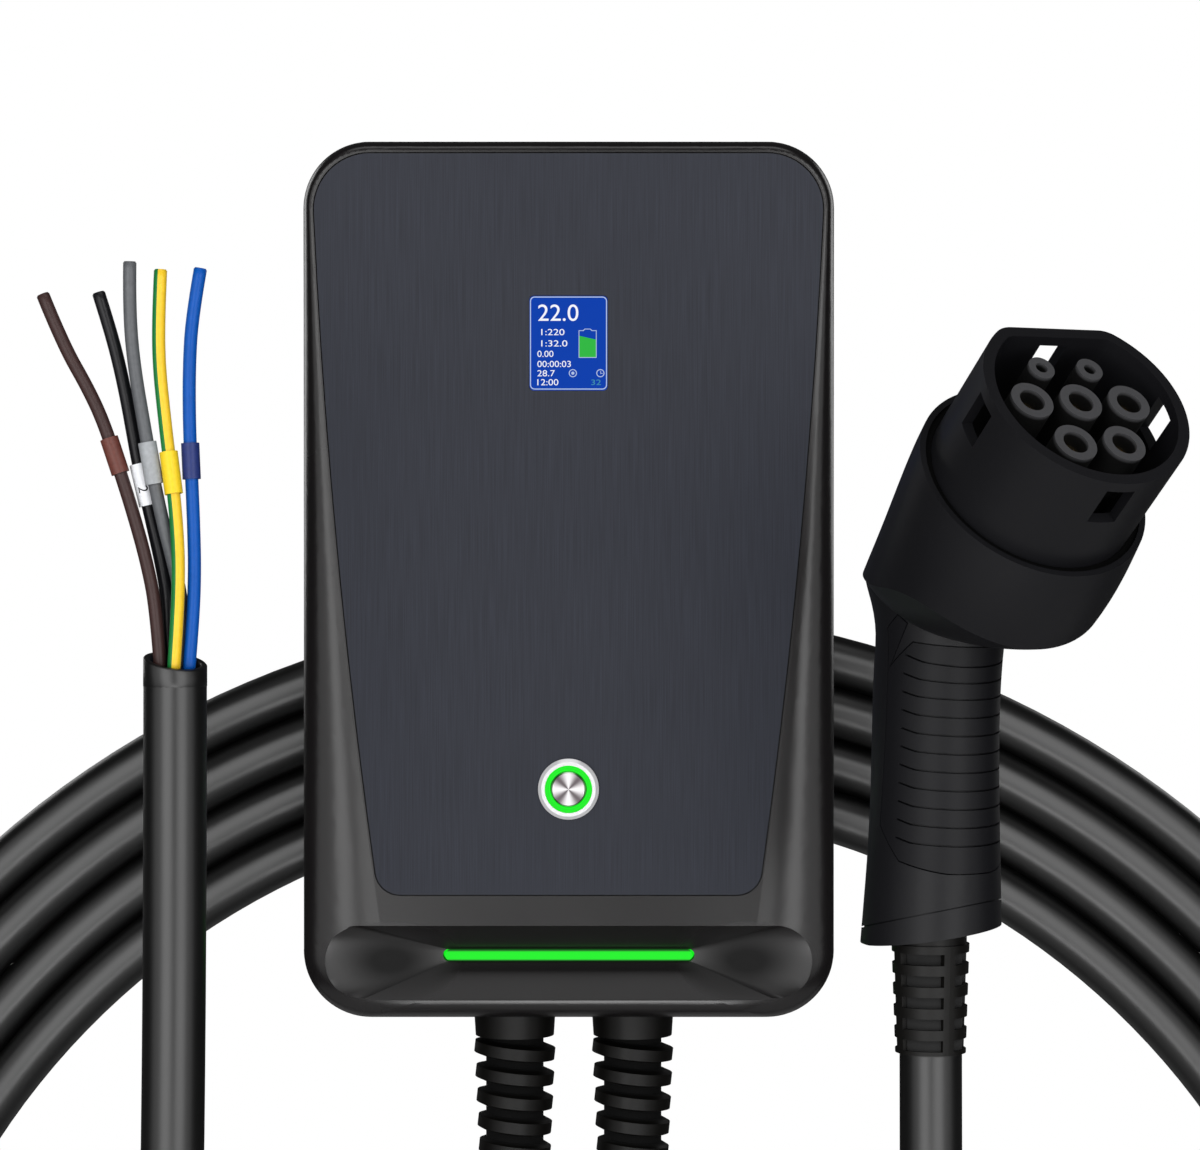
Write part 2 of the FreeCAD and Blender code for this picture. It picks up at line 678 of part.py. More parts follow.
def tube(points, radius, name=None):
    """A solid of round section along a route, with its volume held against section times length."""
    wire = route_wire(points, name)
    start = V(*points[0])
    profile = Part.Wire(Part.makeCircle(radius, start, V(*points[1]) - start))
    solid = wire.makePipeShell([profile], True, True)
    expected = math.pi * radius ** 2 * wire.Length
    if abs(solid.Volume / expected - 1) > 0.01:
        raise ValueError(f"tube {name}: volume {solid.Volume:.0f}, expected {expected:.0f}")
    return feature(solid, "tube")


def from_gland(which, points):
    """The exit point of a cable, inside its strain relief, and the route after it."""
    return [(GLANDS[which], GLAND_Y, -TOP + THREAD_HEIGHT)] + points


# Cores between the cable ends inside and the terminals
CORE = 2.0
PENTAGON = [(0.0, -4.3), (4.1, -1.3), (-4.1, -1.3), (-2.5, 3.5), (2.5, 3.5)]
INNER_ORDER = {"supply": (2, 3, 0, 4, 1), "charge": (2, 3, 0, 4, 1)}
GATHER = -118.0


def inner_cores(which, centre):
    cores = []
    x0 = GLANDS[which]
    for k, place in enumerate(INNER_ORDER[which]):
        dx, dy = PENTAGON[place]
        x = centre + (k - 2) * TERMINAL_PITCH
        y = POWER["front"] - TERMINAL[1] / 2
        cores.append(tube([(x0 + dx, GLAND_Y + dy, -TOP + THREAD_HEIGHT), (x0 + dx, GLAND_Y + dy, GATHER),
                           (x, y, POWER["low"] - 20), (x, y, POWER["low"] + 6)], CORE))
    return group(*cores)


node("supply_inner_cores", inner_cores("supply", TERMINAL_ROWS["input_terminals"]))
node("charge_inner_cores", inner_cores("charge", TERMINAL_ROWS["output_terminals"]))
SENSOR_Z = -133.0
SENSOR_RADIUS = 15.0
sensor = rod(SENSOR_RADIUS, 9, (GLANDS["charge"], GLAND_Y, SENSOR_Z))
sensor_foot = box((14, INNER_BACK - GLAND_Y - 12, 9), (GLANDS["charge"] - 7, GLAND_Y + 12, SENSOR_Z))
sensor_hole = rod(8.0, 11, (GLANDS["charge"], GLAND_Y, SENSOR_Z - 1))
node("current_sensor", cut(fuse(sensor, sensor_foot), sensor_hole))

# Coil of the charging cable: flat turns side by side, hung on the saddle
COIL_CENTRE = V(D["coil_x"], 0, COIL_Z)
COIL_Y = (COIL_BACK + COIL_FRONT) / 2
FIRST_TURN = COIL_INNER + CORD
LAST_TURN = D["coil_outer"] - CORD
LEAD_ANGLE = -36.4
TAIL_ANGLE = 250.0


def on_coil(radius, degrees):
    angle = math.radians(degrees)
    return D["coil_x"] + radius * math.cos(angle), COIL_Y, COIL_Z + radius * math.sin(angle)


charge_lead_route = from_gland("charge", [
    (22.7, -58.0, -315.0),
    (24.0, -12.7, -440.0),
    (24.0, -12.7, -505.8),
    (62.0, -12.7, -563.5),
    (125.3, -12.7, -590.9),
    (193.3, -12.7, -579.0),
    on_coil(FIRST_TURN, LEAD_ANGLE),
])
charge_tail_route = [
    on_coil(LAST_TURN, TAIL_ANGLE),
    (-25.0, -34.0, -706.0),
    (56.0, -98.0, -688.0),
    (104.0, -176.0, -632.0),
    (118.0, -232.0, -540.0),
    (114.0, -250.0, -420.0),
    (111.3, -245.7, -270.0),
    (111.3, -245.7, -110.1),
]
SUPPLY_HEADING = (-0.4358, -0.9001)


def in_supply_plane(forward, z):
    return GLANDS["supply"] + SUPPLY_HEADING[0] * forward, GLAND_Y + SUPPLY_HEADING[1] * forward, z


supply_route = from_gland("supply", [
    in_supply_plane(0.0, -315.0),
    in_supply_plane(-14.0, -440.0),
    in_supply_plane(56.0, -510.0),
    in_supply_plane(156.0, -510.0),
    in_supply_plane(226.0, -440.0),
    in_supply_plane(231.0, -320.0),
    in_supply_plane(221.6, -180.0),
    in_supply_plane(221.6, -25.2),
])
node("charge_lead", tube(charge_lead_route, CORD, "charge_lead"))
node("charge_tail", tube(charge_tail_route, CORD, "charge_tail"))
node("supply_cable", tube(supply_route, CORD, "supply_cable"))


def coil_form():
    """The outer shape of all turns: a flat ring with round edges."""
    body = new_body("coil_form")
    middle = (COIL_INNER + D["coil_outer"]) / 2
    half = (D["coil_outer"] - COIL_INNER) / 2
    sketch = sketch_on(body, "XZ_Plane", rounded(half, CORD, CORD - 0.5, middle, 0))
    made = body.newObject("PartDesign::Revolution", "turned")
    made.Profile = sketch
    made.ReferenceAxis = (sketch, ["V_Axis"])
    made.Angle = 360
    body.Placement = FreeCAD.Placement(COIL_CENTRE + V(0, COIL_Y, 0), FreeCAD.Rotation(V(1, 0, 0), 90))
    return body


CHANNEL = CORD + 0.3
node("cable_coil", cut(coil_form(), tube(charge_lead_route[4:], CHANNEL), tube(charge_tail_route[:3], CHANNEL)))

# Cores and marker sleeves at the end of the supply cable
END = V(*supply_route[-1])
SLEEVE_BORE = 2.35
SLEEVE_RADIUS = 2.75
CORE_ROUTES = {
    "brown": [(-4.1, -1.3, 0), (-5.5, -1.2, 16.5), (-8.6, -0.8, 31.4), (-12.5, -0.4, 45.1), (-16.4, 0, 57.3),
              (-21.5, 0, 72.7), (-26.3, 0, 83.0), (-33.7, 0, 96.0), (-39.8, 0, 111.0)],
    "black": [(-2.5, 3.5, 0), (-2.5, 3.5, 17.6), (-4.5, 3.6, 29.7), (-8.6, 3.4, 47.7), (-11.5, 3.2, 60.3),
              (-12.2, 3.0, 64.0), (-15.6, 3.0, 83.0), (-19.5, 3.2, 99.2), (-23.6, 3.4, 111.8)],
    "grey": [(2.5, 3.5, 0), (2.3, 2.6, 17.0), (-0.9, 0.8, 31.4), (-3.4, -0.6, 41.7), (-6.0, -1.5, 54.0),
             (-8.2, -1.6, 66.6), (-12.2, -2.2, 90.0), (-13.4, -2.8, 107.2), (-13.2, -3.0, 120.5)],
    "earth": [(0, -4.3, 0), (1.2, -4.4, 14.1), (1.6, -4.4, 27.9), (1.2, -4.0, 38.2), (0, -3.0, 51.0),
              (-1.8, -2.0, 64.0), (-3.1, -1.4, 74.4), (-4.8, -0.8, 90.0), (-5.0, -0.2, 104.5), (-4.4, 0, 118.4)],
    "blue": [(4.1, -1.3, 0), (5.5, -1.2, 13.3), (6.0, -1.0, 28.0), (5.6, -0.7, 42.5), (5.0, -0.4, 55.5),
             (4.2, 0, 72.7), (4.2, 0, 90.0), (5.1, 0, 104.5), (7.6, 0, 118.8)],
}
SLEEVE_SPANS = {"brown": (57.3, 67.8), "black": (47.7, 60.2), "grey": (54.0, 66.5), "earth": (51.0, 63.6),
                "blue": (55.5, 66.3)}


def above_end(offsets):
    return [tuple(END + V(*p)) for p in offsets]


def point_at(offsets, height):
    """The point of a polyline at a height above the jacket's end."""
    for a, b in zip(offsets, offsets[1:]):
        if a[2] <= height <= b[2]:
            share = (height - a[2]) / (b[2] - a[2])
            return V(*a) + (V(*b) - V(*a)) * share
    return V(*offsets[-1])


for colour, offsets in CORE_ROUTES.items():
    node(f"{colour}_core", tube(above_end(offsets), CORE))
    low, high = SLEEVE_SPANS[colour]
    bottom, top = point_at(offsets, low), point_at(offsets, high)
    along = top - bottom
    outside = rod(SLEEVE_RADIUS, along.Length, tuple(END + bottom), along)
    hollow = rod(SLEEVE_BORE, along.Length + 2, tuple(END + bottom - along / along.Length), along)
    node(f"{colour}_sleeve", cut(outside, hollow))

# Connector: a handle that stands upright and a head that looks up and forward
GUN_ORIGIN = V(113.8, -251.4, -13.1)
GUN_TURN = FreeCAD.Rotation(UP, -65.35)
HEAD_TILT = 51.1
HEAD_TURN = GUN_TURN.multiply(FreeCAD.Rotation(REAR, HEAD_TILT))
IN_HANDLE = FreeCAD.Placement(GUN_ORIGIN, GUN_TURN)
IN_HEAD = FreeCAD.Placement(GUN_ORIGIN, HEAD_TURN)
RIM_LEVEL = 102.0
COLLAR_LEVEL = RIM_LEVEL - D["shroud_length"]
SHROUD_SEAT = COLLAR_LEVEL - 8.4
FLAT_CORNER = 8.0


def set_in(frame, obj):
    """Moves an object from the handle's or the head's own axes to its place."""
    obj.Placement = frame.multiply(obj.Placement)
    return obj


def head_section(offset):
    """Round outline with a flat towards -X and rounded corners, for the shroud and what fits in it."""
    radius, flat, soft = D["shroud_radius"] + offset, D["shroud_flat"] + offset, FLAT_CORNER + offset
    centre_x = -(flat - soft)
    centre_y = math.sqrt((radius - soft) ** 2 - centre_x ** 2)
    scale = radius / (radius - soft)
    on_round = V(centre_x * scale, centre_y * scale, 0)
    on_flat = V(-flat, centre_y, 0)
    towards = (on_round + on_flat) * 0.5 - V(centre_x, centre_y, 0)
    towards.normalize()
    corner = V(centre_x, centre_y, 0) + towards * soft

    def low(point):
        return V(point.x, -point.y, 0)

    return [
        Part.Arc(on_round, V(radius, 0, 0), low(on_round)),
        Part.Arc(low(on_round), low(corner), low(on_flat)),
        Part.LineSegment(low(on_flat), on_flat),
        Part.Arc(on_flat, corner, on_round),
    ]


def head_prism(offset, low, high):
    """A prism of the head's section between two levels along the head's axis."""
    body = new_body("head_form")
    pad(body, sketch_on(body, "XY_Plane", head_section(offset), low), high - low)
    return set_in(IN_HEAD, body)


def lofted(role, sections):
    """A loft in a body through sections, each a (geometry, level) pair."""
    body = new_body("lofted_form")
    sketches = [sketch_on(body, role, geometry, level) for geometry, level in sections]
    loft = body.newObject("PartDesign::AdditiveLoft", "loft")
    loft.Profile = sketches[0]
    loft.Sections = sketches[1:]
    loft.Ruled = False
    return body


# Head: round sections (level, radius, shift towards the lower side), trimmed by an egg from below
HEAD_SECTIONS = [(-16.0, 27.0, 6.0), (6.0, 31.6, 5.4), (24.0, 33.3, 4.7), (40.0, 34.8, 3.8), (54.0, 35.5, 2.0),
                 (COLLAR_LEVEL, D["collar_radius"], 0.0)]
LOFT_TURN = 40.0
head_loft = lofted("XY_Plane", [([Part.Circle(FreeCAD.Rotation(UP, -LOFT_TURN).multVec(V(shift, 0, 0)), UP, radius)],
                                 level) for level, radius, shift in HEAD_SECTIONS])
head_form = set_in(IN_HEAD, placed(head_loft, V(0, 0, 0), UP, LOFT_TURN))
EGG_CENTRE = V(25.0, 0, 36.5)
EGG_RADIUS = 42.0
EGG_FRONT = 90.0
EGG_REAR = 44.0
EGG_TILT = 8.0


def egg_form():
    """An egg turned about its level axis, with a long front and a short rear."""
    body = new_body("egg_form")
    ellipses = [Part.Ellipse(V(reach, 0, 0), V(0, EGG_RADIUS, 0), V(0, 0, 0)) for reach in (EGG_FRONT, EGG_REAR)]
    profile = [
        Part.ArcOfEllipse(ellipses[0], 0, math.pi / 2),
        Part.ArcOfEllipse(ellipses[1], math.pi / 2, math.pi),
        Part.LineSegment(V(-EGG_REAR, 0, 0), V(EGG_FRONT, 0, 0)),
    ]
    sketch = sketch_on(body, "XY_Plane", profile)
    made = body.newObject("PartDesign::Revolution", "turned")
    made.Profile = sketch
    made.ReferenceAxis = (sketch, ["H_Axis"])
    made.Angle = 360
    return set_in(IN_HANDLE, placed(body, EGG_CENTRE, REAR, EGG_TILT))


head = common(head_form, egg_form(), label="head_trimmed")

# Handle: oval sections (level, half width, half depth, centre)
HANDLE_LOW = -D["grip_length"]
HANDLE_SECTIONS = [
    (HANDLE_LOW, D["grip_half_width"] + 2.3, D["grip_half_depth"] + 1.5, -6.0),
    (-75.0, D["grip_half_width"] + 1.1, D["grip_half_depth"] + 0.7, -4.6),
    (-45.0, D["grip_half_width"], D["grip_half_depth"], -3.6),
    (-10.0, D["grip_half_width"], D["grip_half_depth"], -1.4),
    (0.0, D["grip_half_width"] + 0.8, D["grip_half_depth"], 0.0),
    (8.0, D["grip_half_width"] + 3.1, D["grip_half_depth"] + 0.6, 0.6),
    (16.0, D["grip_half_width"] + 6.0, D["grip_half_depth"] + 3.5, 3.5),
]
INLAY_DEPTH = 1.2


def handle_form(offset=0.0):
    ovals = []
    for level, half_width, half_depth, centre in HANDLE_SECTIONS:
        oval = Part.Ellipse(V(centre - half_depth - offset, 0, 0), V(centre, half_width + offset, 0), V(centre, 0, 0))
        ovals.append(([oval], level))
    return set_in(IN_HANDLE, lofted("XY_Plane", ovals))


INLAY_OUTLINE = [(0.8, -1.0), (7.0, 3.2), (10.0, 0.4), (2.2, -11.5), (10.5, -5.0), (40.0, -9.5), (40.0, -75.5),
                 (16.0, -74.3), (4.8, -70.8), (-4.0, -60.5)]
JOINT_GAP = 0.4
GROOVE_COUNT = 11
GROOVE_PITCH = 5.45


def across_handle(geometry):
    """A prism through the whole handle, drawn from its side."""
    body = new_body("side_form")
    pad(body, sketch_on(body, "XZ_Plane", geometry, -40), 80)
    return set_in(IN_HANDLE, body)


def inside_outline(points, gap):
    """The corners of a clockwise outline moved inwards, so that each side lies gap inside its old place."""
    moved = []
    for before, corner, after in zip(points[-1:] + points[:-1], points, points[1:] + points[:1]):
        normals = []
        for (x0, z0), (x1, z1) in ((before, corner), (corner, after)):
            length = math.hypot(x1 - x0, z1 - z0)
            normals.append(((z1 - z0) / length, (x0 - x1) / length))
        (ax, az), (bx, bz) = normals
        share = gap / (1 + ax * bx + az * bz)
        moved.append((corner[0] + (ax + bx) * share, corner[1] + (az + bz) * share))
    return moved


def groove_comb():
    """A comb whose teeth are the grooves across the grip, each falling towards the front."""
    points = [(50.0, 20.0)]
    for k in range(1, GROOVE_COUNT + 1):
        level = -3.5 - k * GROOVE_PITCH
        start = 6.2 - 0.27 * k + 5.0 * 0.35 ** k
        fall = 3.0 + 0.6 * max(0, 3 - k)
        way = [(45.0, level - fall), (20.0, level - 0.9 * fall), (start + 5.0, level - 0.5 * fall), (start, level)]
        points += [(x, z + 0.3) for x, z in way] + [(x, z - 0.3) for x, z in reversed(way)]
    points.append((50.0, -90.0))
    return across_handle(polygon(points))


def slanting(level, slope_h, slope_v, height):
    """A thick plate through the handle whose upper face is a slanting plane."""
    body = new_body("slanting_form")
    rise = 50 * slope_v
    outline = polygon([(-50, -rise), (50, rise), (50, rise - height), (-50, -rise - height)])
    pad(body, sketch_on(body, "YZ_Plane", outline, -60), 120)
    tilt = -math.degrees(math.atan(slope_h))
    return set_in(IN_HANDLE, placed(body, V(0, 0, level), REAR, tilt))


handle = handle_form()
inner_handle = handle_form(-INLAY_DEPTH)
inlay_seat = cut(common(handle, across_handle(polygon(INLAY_OUTLINE))), inner_handle, label="inlay_seat")
inlay_sides = across_handle(polygon(inside_outline(INLAY_OUTLINE, JOINT_GAP)))
inlay = cut(common(handle, inlay_sides), inner_handle, groove_comb(), label="inlay")
SEAM_LEVEL, SEAM_SLOPES = -86.6, (0.198, 0.125)
seam = slanting(SEAM_LEVEL, *SEAM_SLOPES, 60.0)
seam_line = cut(slanting(SEAM_LEVEL, *SEAM_SLOPES, JOINT_GAP), handle_form(-0.8), label="seam_line")
below_cap = slanting(-93.6, 0.071, 0.138, 60.0)
RELIEF_AXIS = (-6.2, 0.0)
PLUG_RADIUS = 11.0
PLUG_HEIGHT = 5.2
plug_bore = set_in(IN_HANDLE, rod(PLUG_RADIUS, PLUG_HEIGHT + 10, (*RELIEF_AXIS, HANDLE_LOW - 10)))
shroud_bore = head_prism(0.1, SHROUD_SEAT, COLLAR_LEVEL + 10)
ring_bore = set_in(IN_HEAD, rod(D["collar_radius"] - 1.8, 20, (0, 0, COLLAR_LEVEL - 3)))
gun_solid = fuse(head, cut(handle, inlay_seat, seam), label="gun_joined")
node("gun_shell", cut(gun_solid, shroud_bore, ring_bore))
node("grip_inlay", inlay)
node("gun_end_cap", cut(common(handle, seam), seam_line, below_cap, plug_bore))
ring_outer = set_in(IN_HEAD, rod(D["collar_radius"] - 1.8, 2.2, (0, 0, COLLAR_LEVEL - 3)))
node("gun_collar_ring", cut(ring_outer, head_prism(0.1, SHROUD_SEAT, COLLAR_LEVEL + 10)))

# Shroud with four windows, the insert behind it, and the contacts
inside = head_prism(-D["shroud_wall"], SHROUD_SEAT - 1, RIM_LEVEL + 1)
WINDOW = (9.0, 13.0)
WINDOW_LEVEL = RIM_LEVEL - 10.0


def window_cutter(angle):
    made = box((20, WINDOW[0], WINDOW[1]), (0, 0, 0), "window")
    turn = FreeCAD.Rotation(UP, angle)
    corner = turn.multVec(V(D["shroud_radius"] - 12, -WINDOW[0] / 2, 0)) + V(0, 0, WINDOW_LEVEL - WINDOW[1] / 2)
    made.Placement = FreeCAD.Placement(corner, turn)
    return set_in(IN_HEAD, made)


shroud = cut(head_prism(0.0, SHROUD_SEAT, RIM_LEVEL), inside)
node("gun_shroud", cut(shroud, *[window_cutter(angle) for angle in (0, 90, 180, 270)]))
INSERT_LEVEL = RIM_LEVEL - 30.0
node("contact_carrier", head_prism(-D["shroud_wall"] - 0.1, SHROUD_SEAT, INSERT_LEVEL))
POWER_PLACES = [(-1.3, -16.0), (-1.3, 0.0), (-1.3, 16.0), (14.1, -8.0), (14.1, 8.0)]
SIGNAL_PLACES = [(-13.7, -8.0), (-13.7, 8.0)]
SLEEVE_FRONT = RIM_LEVEL - 2.8
CONTACT_FRONT = SLEEVE_FRONT - 5.0


def hollow_rod(outer, inner, low, high, place):
    x, y = place
    outside = rod(outer, high - low, (x, y, low))
    return set_in(IN_HEAD, cut(outside, rod(inner, high - low + 2, (x, y, low - 1))))


node("power_sleeves", group(*[hollow_rod(6.4, 3.8, INSERT_LEVEL, SLEEVE_FRONT, p) for p in POWER_PLACES]))
node("signal_sleeves", group(*[hollow_rod(4.0, 1.8, INSERT_LEVEL, SLEEVE_FRONT, p) for p in SIGNAL_PLACES]))
node("power_contacts", group(*[hollow_rod(3.7, 2.9, INSERT_LEVEL, CONTACT_FRONT, p) for p in POWER_PLACES]))
node("signal_contacts", group(*[hollow_rod(1.75, 1.2, INSERT_LEVEL, CONTACT_FRONT, p) for p in SIGNAL_PLACES]))

# Strain relief under the handle
GUN_RELIEF_LENGTH = 33.0
SLOT_COUNT = 5
SLOT_STEP = 6.5
SLOT_HEIGHT = 3.4
BAR_WIDTH = 3.8


def gun_relief():
    """A plug in the end cap and, below it, rings held together by four upright bars."""
    slots = fuse(*[rod(14.0, SLOT_HEIGHT, (0, 0, -2.4 - SLOT_HEIGHT - k * SLOT_STEP)) for k in range(SLOT_COUNT)])
    bars = [placed(box((14, BAR_WIDTH, GUN_RELIEF_LENGTH), (0, 0, 0)),
                   FreeCAD.Rotation(UP, angle).multVec(V(0, -BAR_WIDTH / 2, 0)) - V(0, 0, GUN_RELIEF_LENGTH), UP, angle)
            for angle in (0, 90, 180, 270)]
    hull = cone(10.7, 11.8, GUN_RELIEF_LENGTH, (0, 0, -GUN_RELIEF_LENGTH))
    cable_way = rod(BORE, GUN_RELIEF_LENGTH + 1, (0, 0, -GUN_RELIEF_LENGTH - 1))
    rings = cut(hull, cut(slots, *bars), cable_way)
    solid = fuse(rings, rod(PLUG_RADIUS, PLUG_HEIGHT, (0, 0, 0)), label="relief_with_plug")
    solid.Placement = FreeCAD.Placement(V(*RELIEF_AXIS, HANDLE_LOW), FreeCAD.Rotation())
    return set_in(IN_HANDLE, solid)


node("gun_relief", gun_relief())

doc.recompute()
bad = [obj.Label for obj in doc.Objects if "Invalid" in obj.State or "Error" in obj.State]
if bad:
    raise RuntimeError(f"features that failed: {bad}")
for label, obj in nodes.items():
    shape = obj.Shape
    if shape.isNull() or not shape.isValid() or not shape.Solids:
        raise RuntimeError(f"{label} isn't a valid solid")
    size = shape.BoundBox
    print(f"{label}: {len(shape.Solids)} solids, {shape.Volume / 1000:.1f} cm3, "
          f"{size.XLength:.1f} x {size.YLength:.1f} x {size.ZLength:.1f}")
    shape.exportStep(f"parts/{label}.step")
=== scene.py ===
import json
import math

import bmesh
import bpy
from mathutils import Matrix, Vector


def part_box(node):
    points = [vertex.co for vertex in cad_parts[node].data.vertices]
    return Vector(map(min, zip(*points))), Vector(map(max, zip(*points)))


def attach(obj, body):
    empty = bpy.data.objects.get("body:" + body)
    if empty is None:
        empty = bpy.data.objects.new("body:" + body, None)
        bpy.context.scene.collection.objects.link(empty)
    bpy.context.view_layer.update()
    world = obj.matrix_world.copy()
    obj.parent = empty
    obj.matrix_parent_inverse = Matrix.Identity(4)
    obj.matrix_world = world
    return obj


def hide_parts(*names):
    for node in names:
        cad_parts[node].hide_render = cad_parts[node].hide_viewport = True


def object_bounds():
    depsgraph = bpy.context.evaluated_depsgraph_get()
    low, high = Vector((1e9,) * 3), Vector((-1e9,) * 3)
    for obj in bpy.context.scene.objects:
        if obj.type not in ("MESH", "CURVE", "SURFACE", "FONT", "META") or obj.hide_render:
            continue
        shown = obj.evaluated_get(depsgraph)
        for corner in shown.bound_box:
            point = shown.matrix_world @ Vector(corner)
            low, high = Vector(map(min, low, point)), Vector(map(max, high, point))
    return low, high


# Wall charger with its supply cable, its coiled charging cable and a connector.
# +Z is up and the front faces -Y. Sizes and places are in millimetres, and MM turns them into metres.
# Those of the studio are in metres.

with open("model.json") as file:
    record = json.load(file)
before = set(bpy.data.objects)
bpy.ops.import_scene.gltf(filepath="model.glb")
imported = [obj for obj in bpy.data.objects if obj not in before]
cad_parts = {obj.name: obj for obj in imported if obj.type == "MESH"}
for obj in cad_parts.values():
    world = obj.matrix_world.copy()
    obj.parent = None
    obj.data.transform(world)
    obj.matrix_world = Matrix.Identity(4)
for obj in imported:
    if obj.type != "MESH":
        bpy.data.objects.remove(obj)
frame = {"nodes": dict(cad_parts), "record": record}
CAD_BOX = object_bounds()
NODES = frame["nodes"]
SLOT_OF = {part["node"]: part["material_slot"] for part in frame["record"]["subparts"]}
BODY = "charger"
MM = 0.001

# Front of the box
BUTTON_LEVEL = -72.3
BAR_LEVEL = -130.8
SCOOP_LEVEL, SCOOP_END = -132.35, 62.0

# Strain reliefs under the box
GLAND_Y = -58.0
GLAND_TOP = -141.4
SUPPLY_X, CHARGE_X = -20.0, 22.7

# Connector: the line of its contacts, and its strain relief
HEAD_AXIS = Vector((0.325, -0.707, 0.628))
CONNECTOR_X, CONNECTOR_Y = 111.3, -245.7
RELIEF_LEVEL = -126.5


def metres(points):
    return [Vector(p) * MM for p in points]


def add_piece(name, data):
    """Puts new mesh or curve data in the scene as a piece of the object."""
    made = bpy.data.objects.new(name, data)
    bpy.context.scene.collection.objects.link(made)
    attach(made, BODY)
    return made


def mesh_data(name, mesh):
    """Turns a bmesh into mesh data, and frees it."""
    data = bpy.data.meshes.new(name)
    mesh.to_mesh(data)
    mesh.free()
    return data


# Nodes of a material
def feed(tree, socket, value):
    """Links a socket to the output that feeds it, or sets it to a plain value."""
    if isinstance(value, bpy.types.NodeSocket):
        tree.links.new(value, socket)
    else:
        socket.default_value = value


def add_node(tree, kind, output, inputs, **settings):
    """Adds a node with these settings and inputs, and gives its output."""
    node = tree.nodes.new(kind)
    for name, value in settings.items():
        setattr(node, name, value)
    for socket, value in inputs.items():
        feed(tree, node.inputs[socket], value)
    return node.outputs[output]


def place_on_object(tree):
    """A point's place on its object, in metres."""
    return add_node(tree, "ShaderNodeTexCoord", "Object", {})


def number(tree, operation, *values):
    """The result of a Math node."""
    return add_node(tree, "ShaderNodeMath", "Value", dict(enumerate(values)), operation=operation)


def vector(tree, operation, *values):
    """The result of a Vector Math node, which is a number for a length or a dot product."""
    output = "Value" if operation in ("LENGTH", "DOT_PRODUCT") else "Vector"
    return add_node(tree, "ShaderNodeVectorMath", output, dict(enumerate(values)), operation=operation)


def ranged(tree, value, from_low, from_high, to_low=0.0, to_high=1.0):
    """Maps a value from one range to another, and holds it within that."""
    inputs = {"Value": value, "From Min": from_low, "From Max": from_high, "To Min": to_low,
              "To Max": to_high}
    return add_node(tree, "ShaderNodeMapRange", "Result", inputs)


def mixed(tree, share, at_none, at_full, data_type="RGBA"):
    """A colour or a number between two, by a share from 0 to 1."""
    inputs = {"Factor": share, "A": at_none, "B": at_full}
    return add_node(tree, "ShaderNodeMix", "Result", inputs, data_type=data_type)


def distance(tree, centre, kept_axes=(1, 1, 1)):
    """How far a point is from a centre, over the axes that are kept."""
    away = vector(tree, "SUBTRACT", place_on_object(tree), centre)
    return vector(tree, "LENGTH", vector(tree, "MULTIPLY", away, kept_axes))


# Materials
NOISE_RANGE = (0.3, 0.7)
NOISE_DETAIL = 3.0
BROAD_CELLS = 14


def grain(tree, cells):
    """Noise with so many cells to a metre: one number, or one for each axis."""
    scale = cells if isinstance(cells, tuple) else (cells,) * 3
    place = add_node(tree, "ShaderNodeMapping", "Vector", {"Vector": place_on_object(tree), "Scale": scale})
    inputs = {"Vector": place, "Scale": 1.0, "Detail": NOISE_DETAIL}
    return add_node(tree, "ShaderNodeTexNoise", "Fac", inputs)


def surface(name, color, roughness, metal=0.0, specular=0.5, cells=900, variation=0.10,
            rough_variation=0.05, bump=0.15, depth=0.02, anisotropic=0.0, glow=None):
    """A finish with fine grain in its colour and bump, and broad, faint changes in its roughness."""
    made = bpy.data.materials.new(name)
    made.use_nodes = True
    tree = made.node_tree
    fine = grain(tree, cells)
    darker = (*[c * (1 - variation) for c in color], 1)
    lighter = (*[c * (1 + variation) for c in color], 1)
    low, high = roughness - rough_variation, roughness + rough_variation
    relief = {"Strength": bump, "Distance": depth * MM, "Height": fine}
    inputs = {
        "Metallic": metal,
        "Specular IOR Level": specular,
        "Anisotropic": anisotropic,
        "Base Color": mixed(tree, ranged(tree, fine, *NOISE_RANGE), darker, lighter),
        "Roughness": ranged(tree, grain(tree, BROAD_CELLS), *NOISE_RANGE, low, high),
        "Normal": add_node(tree, "ShaderNodeBump", "Normal", relief),
    }
    if glow:
        inputs["Emission Color"] = (*glow, 1)
        inputs["Emission Strength"] = 1.0
    for socket, value in inputs.items():
        feed(tree, tree.nodes["Principled BSDF"].inputs[socket], value)
    return made


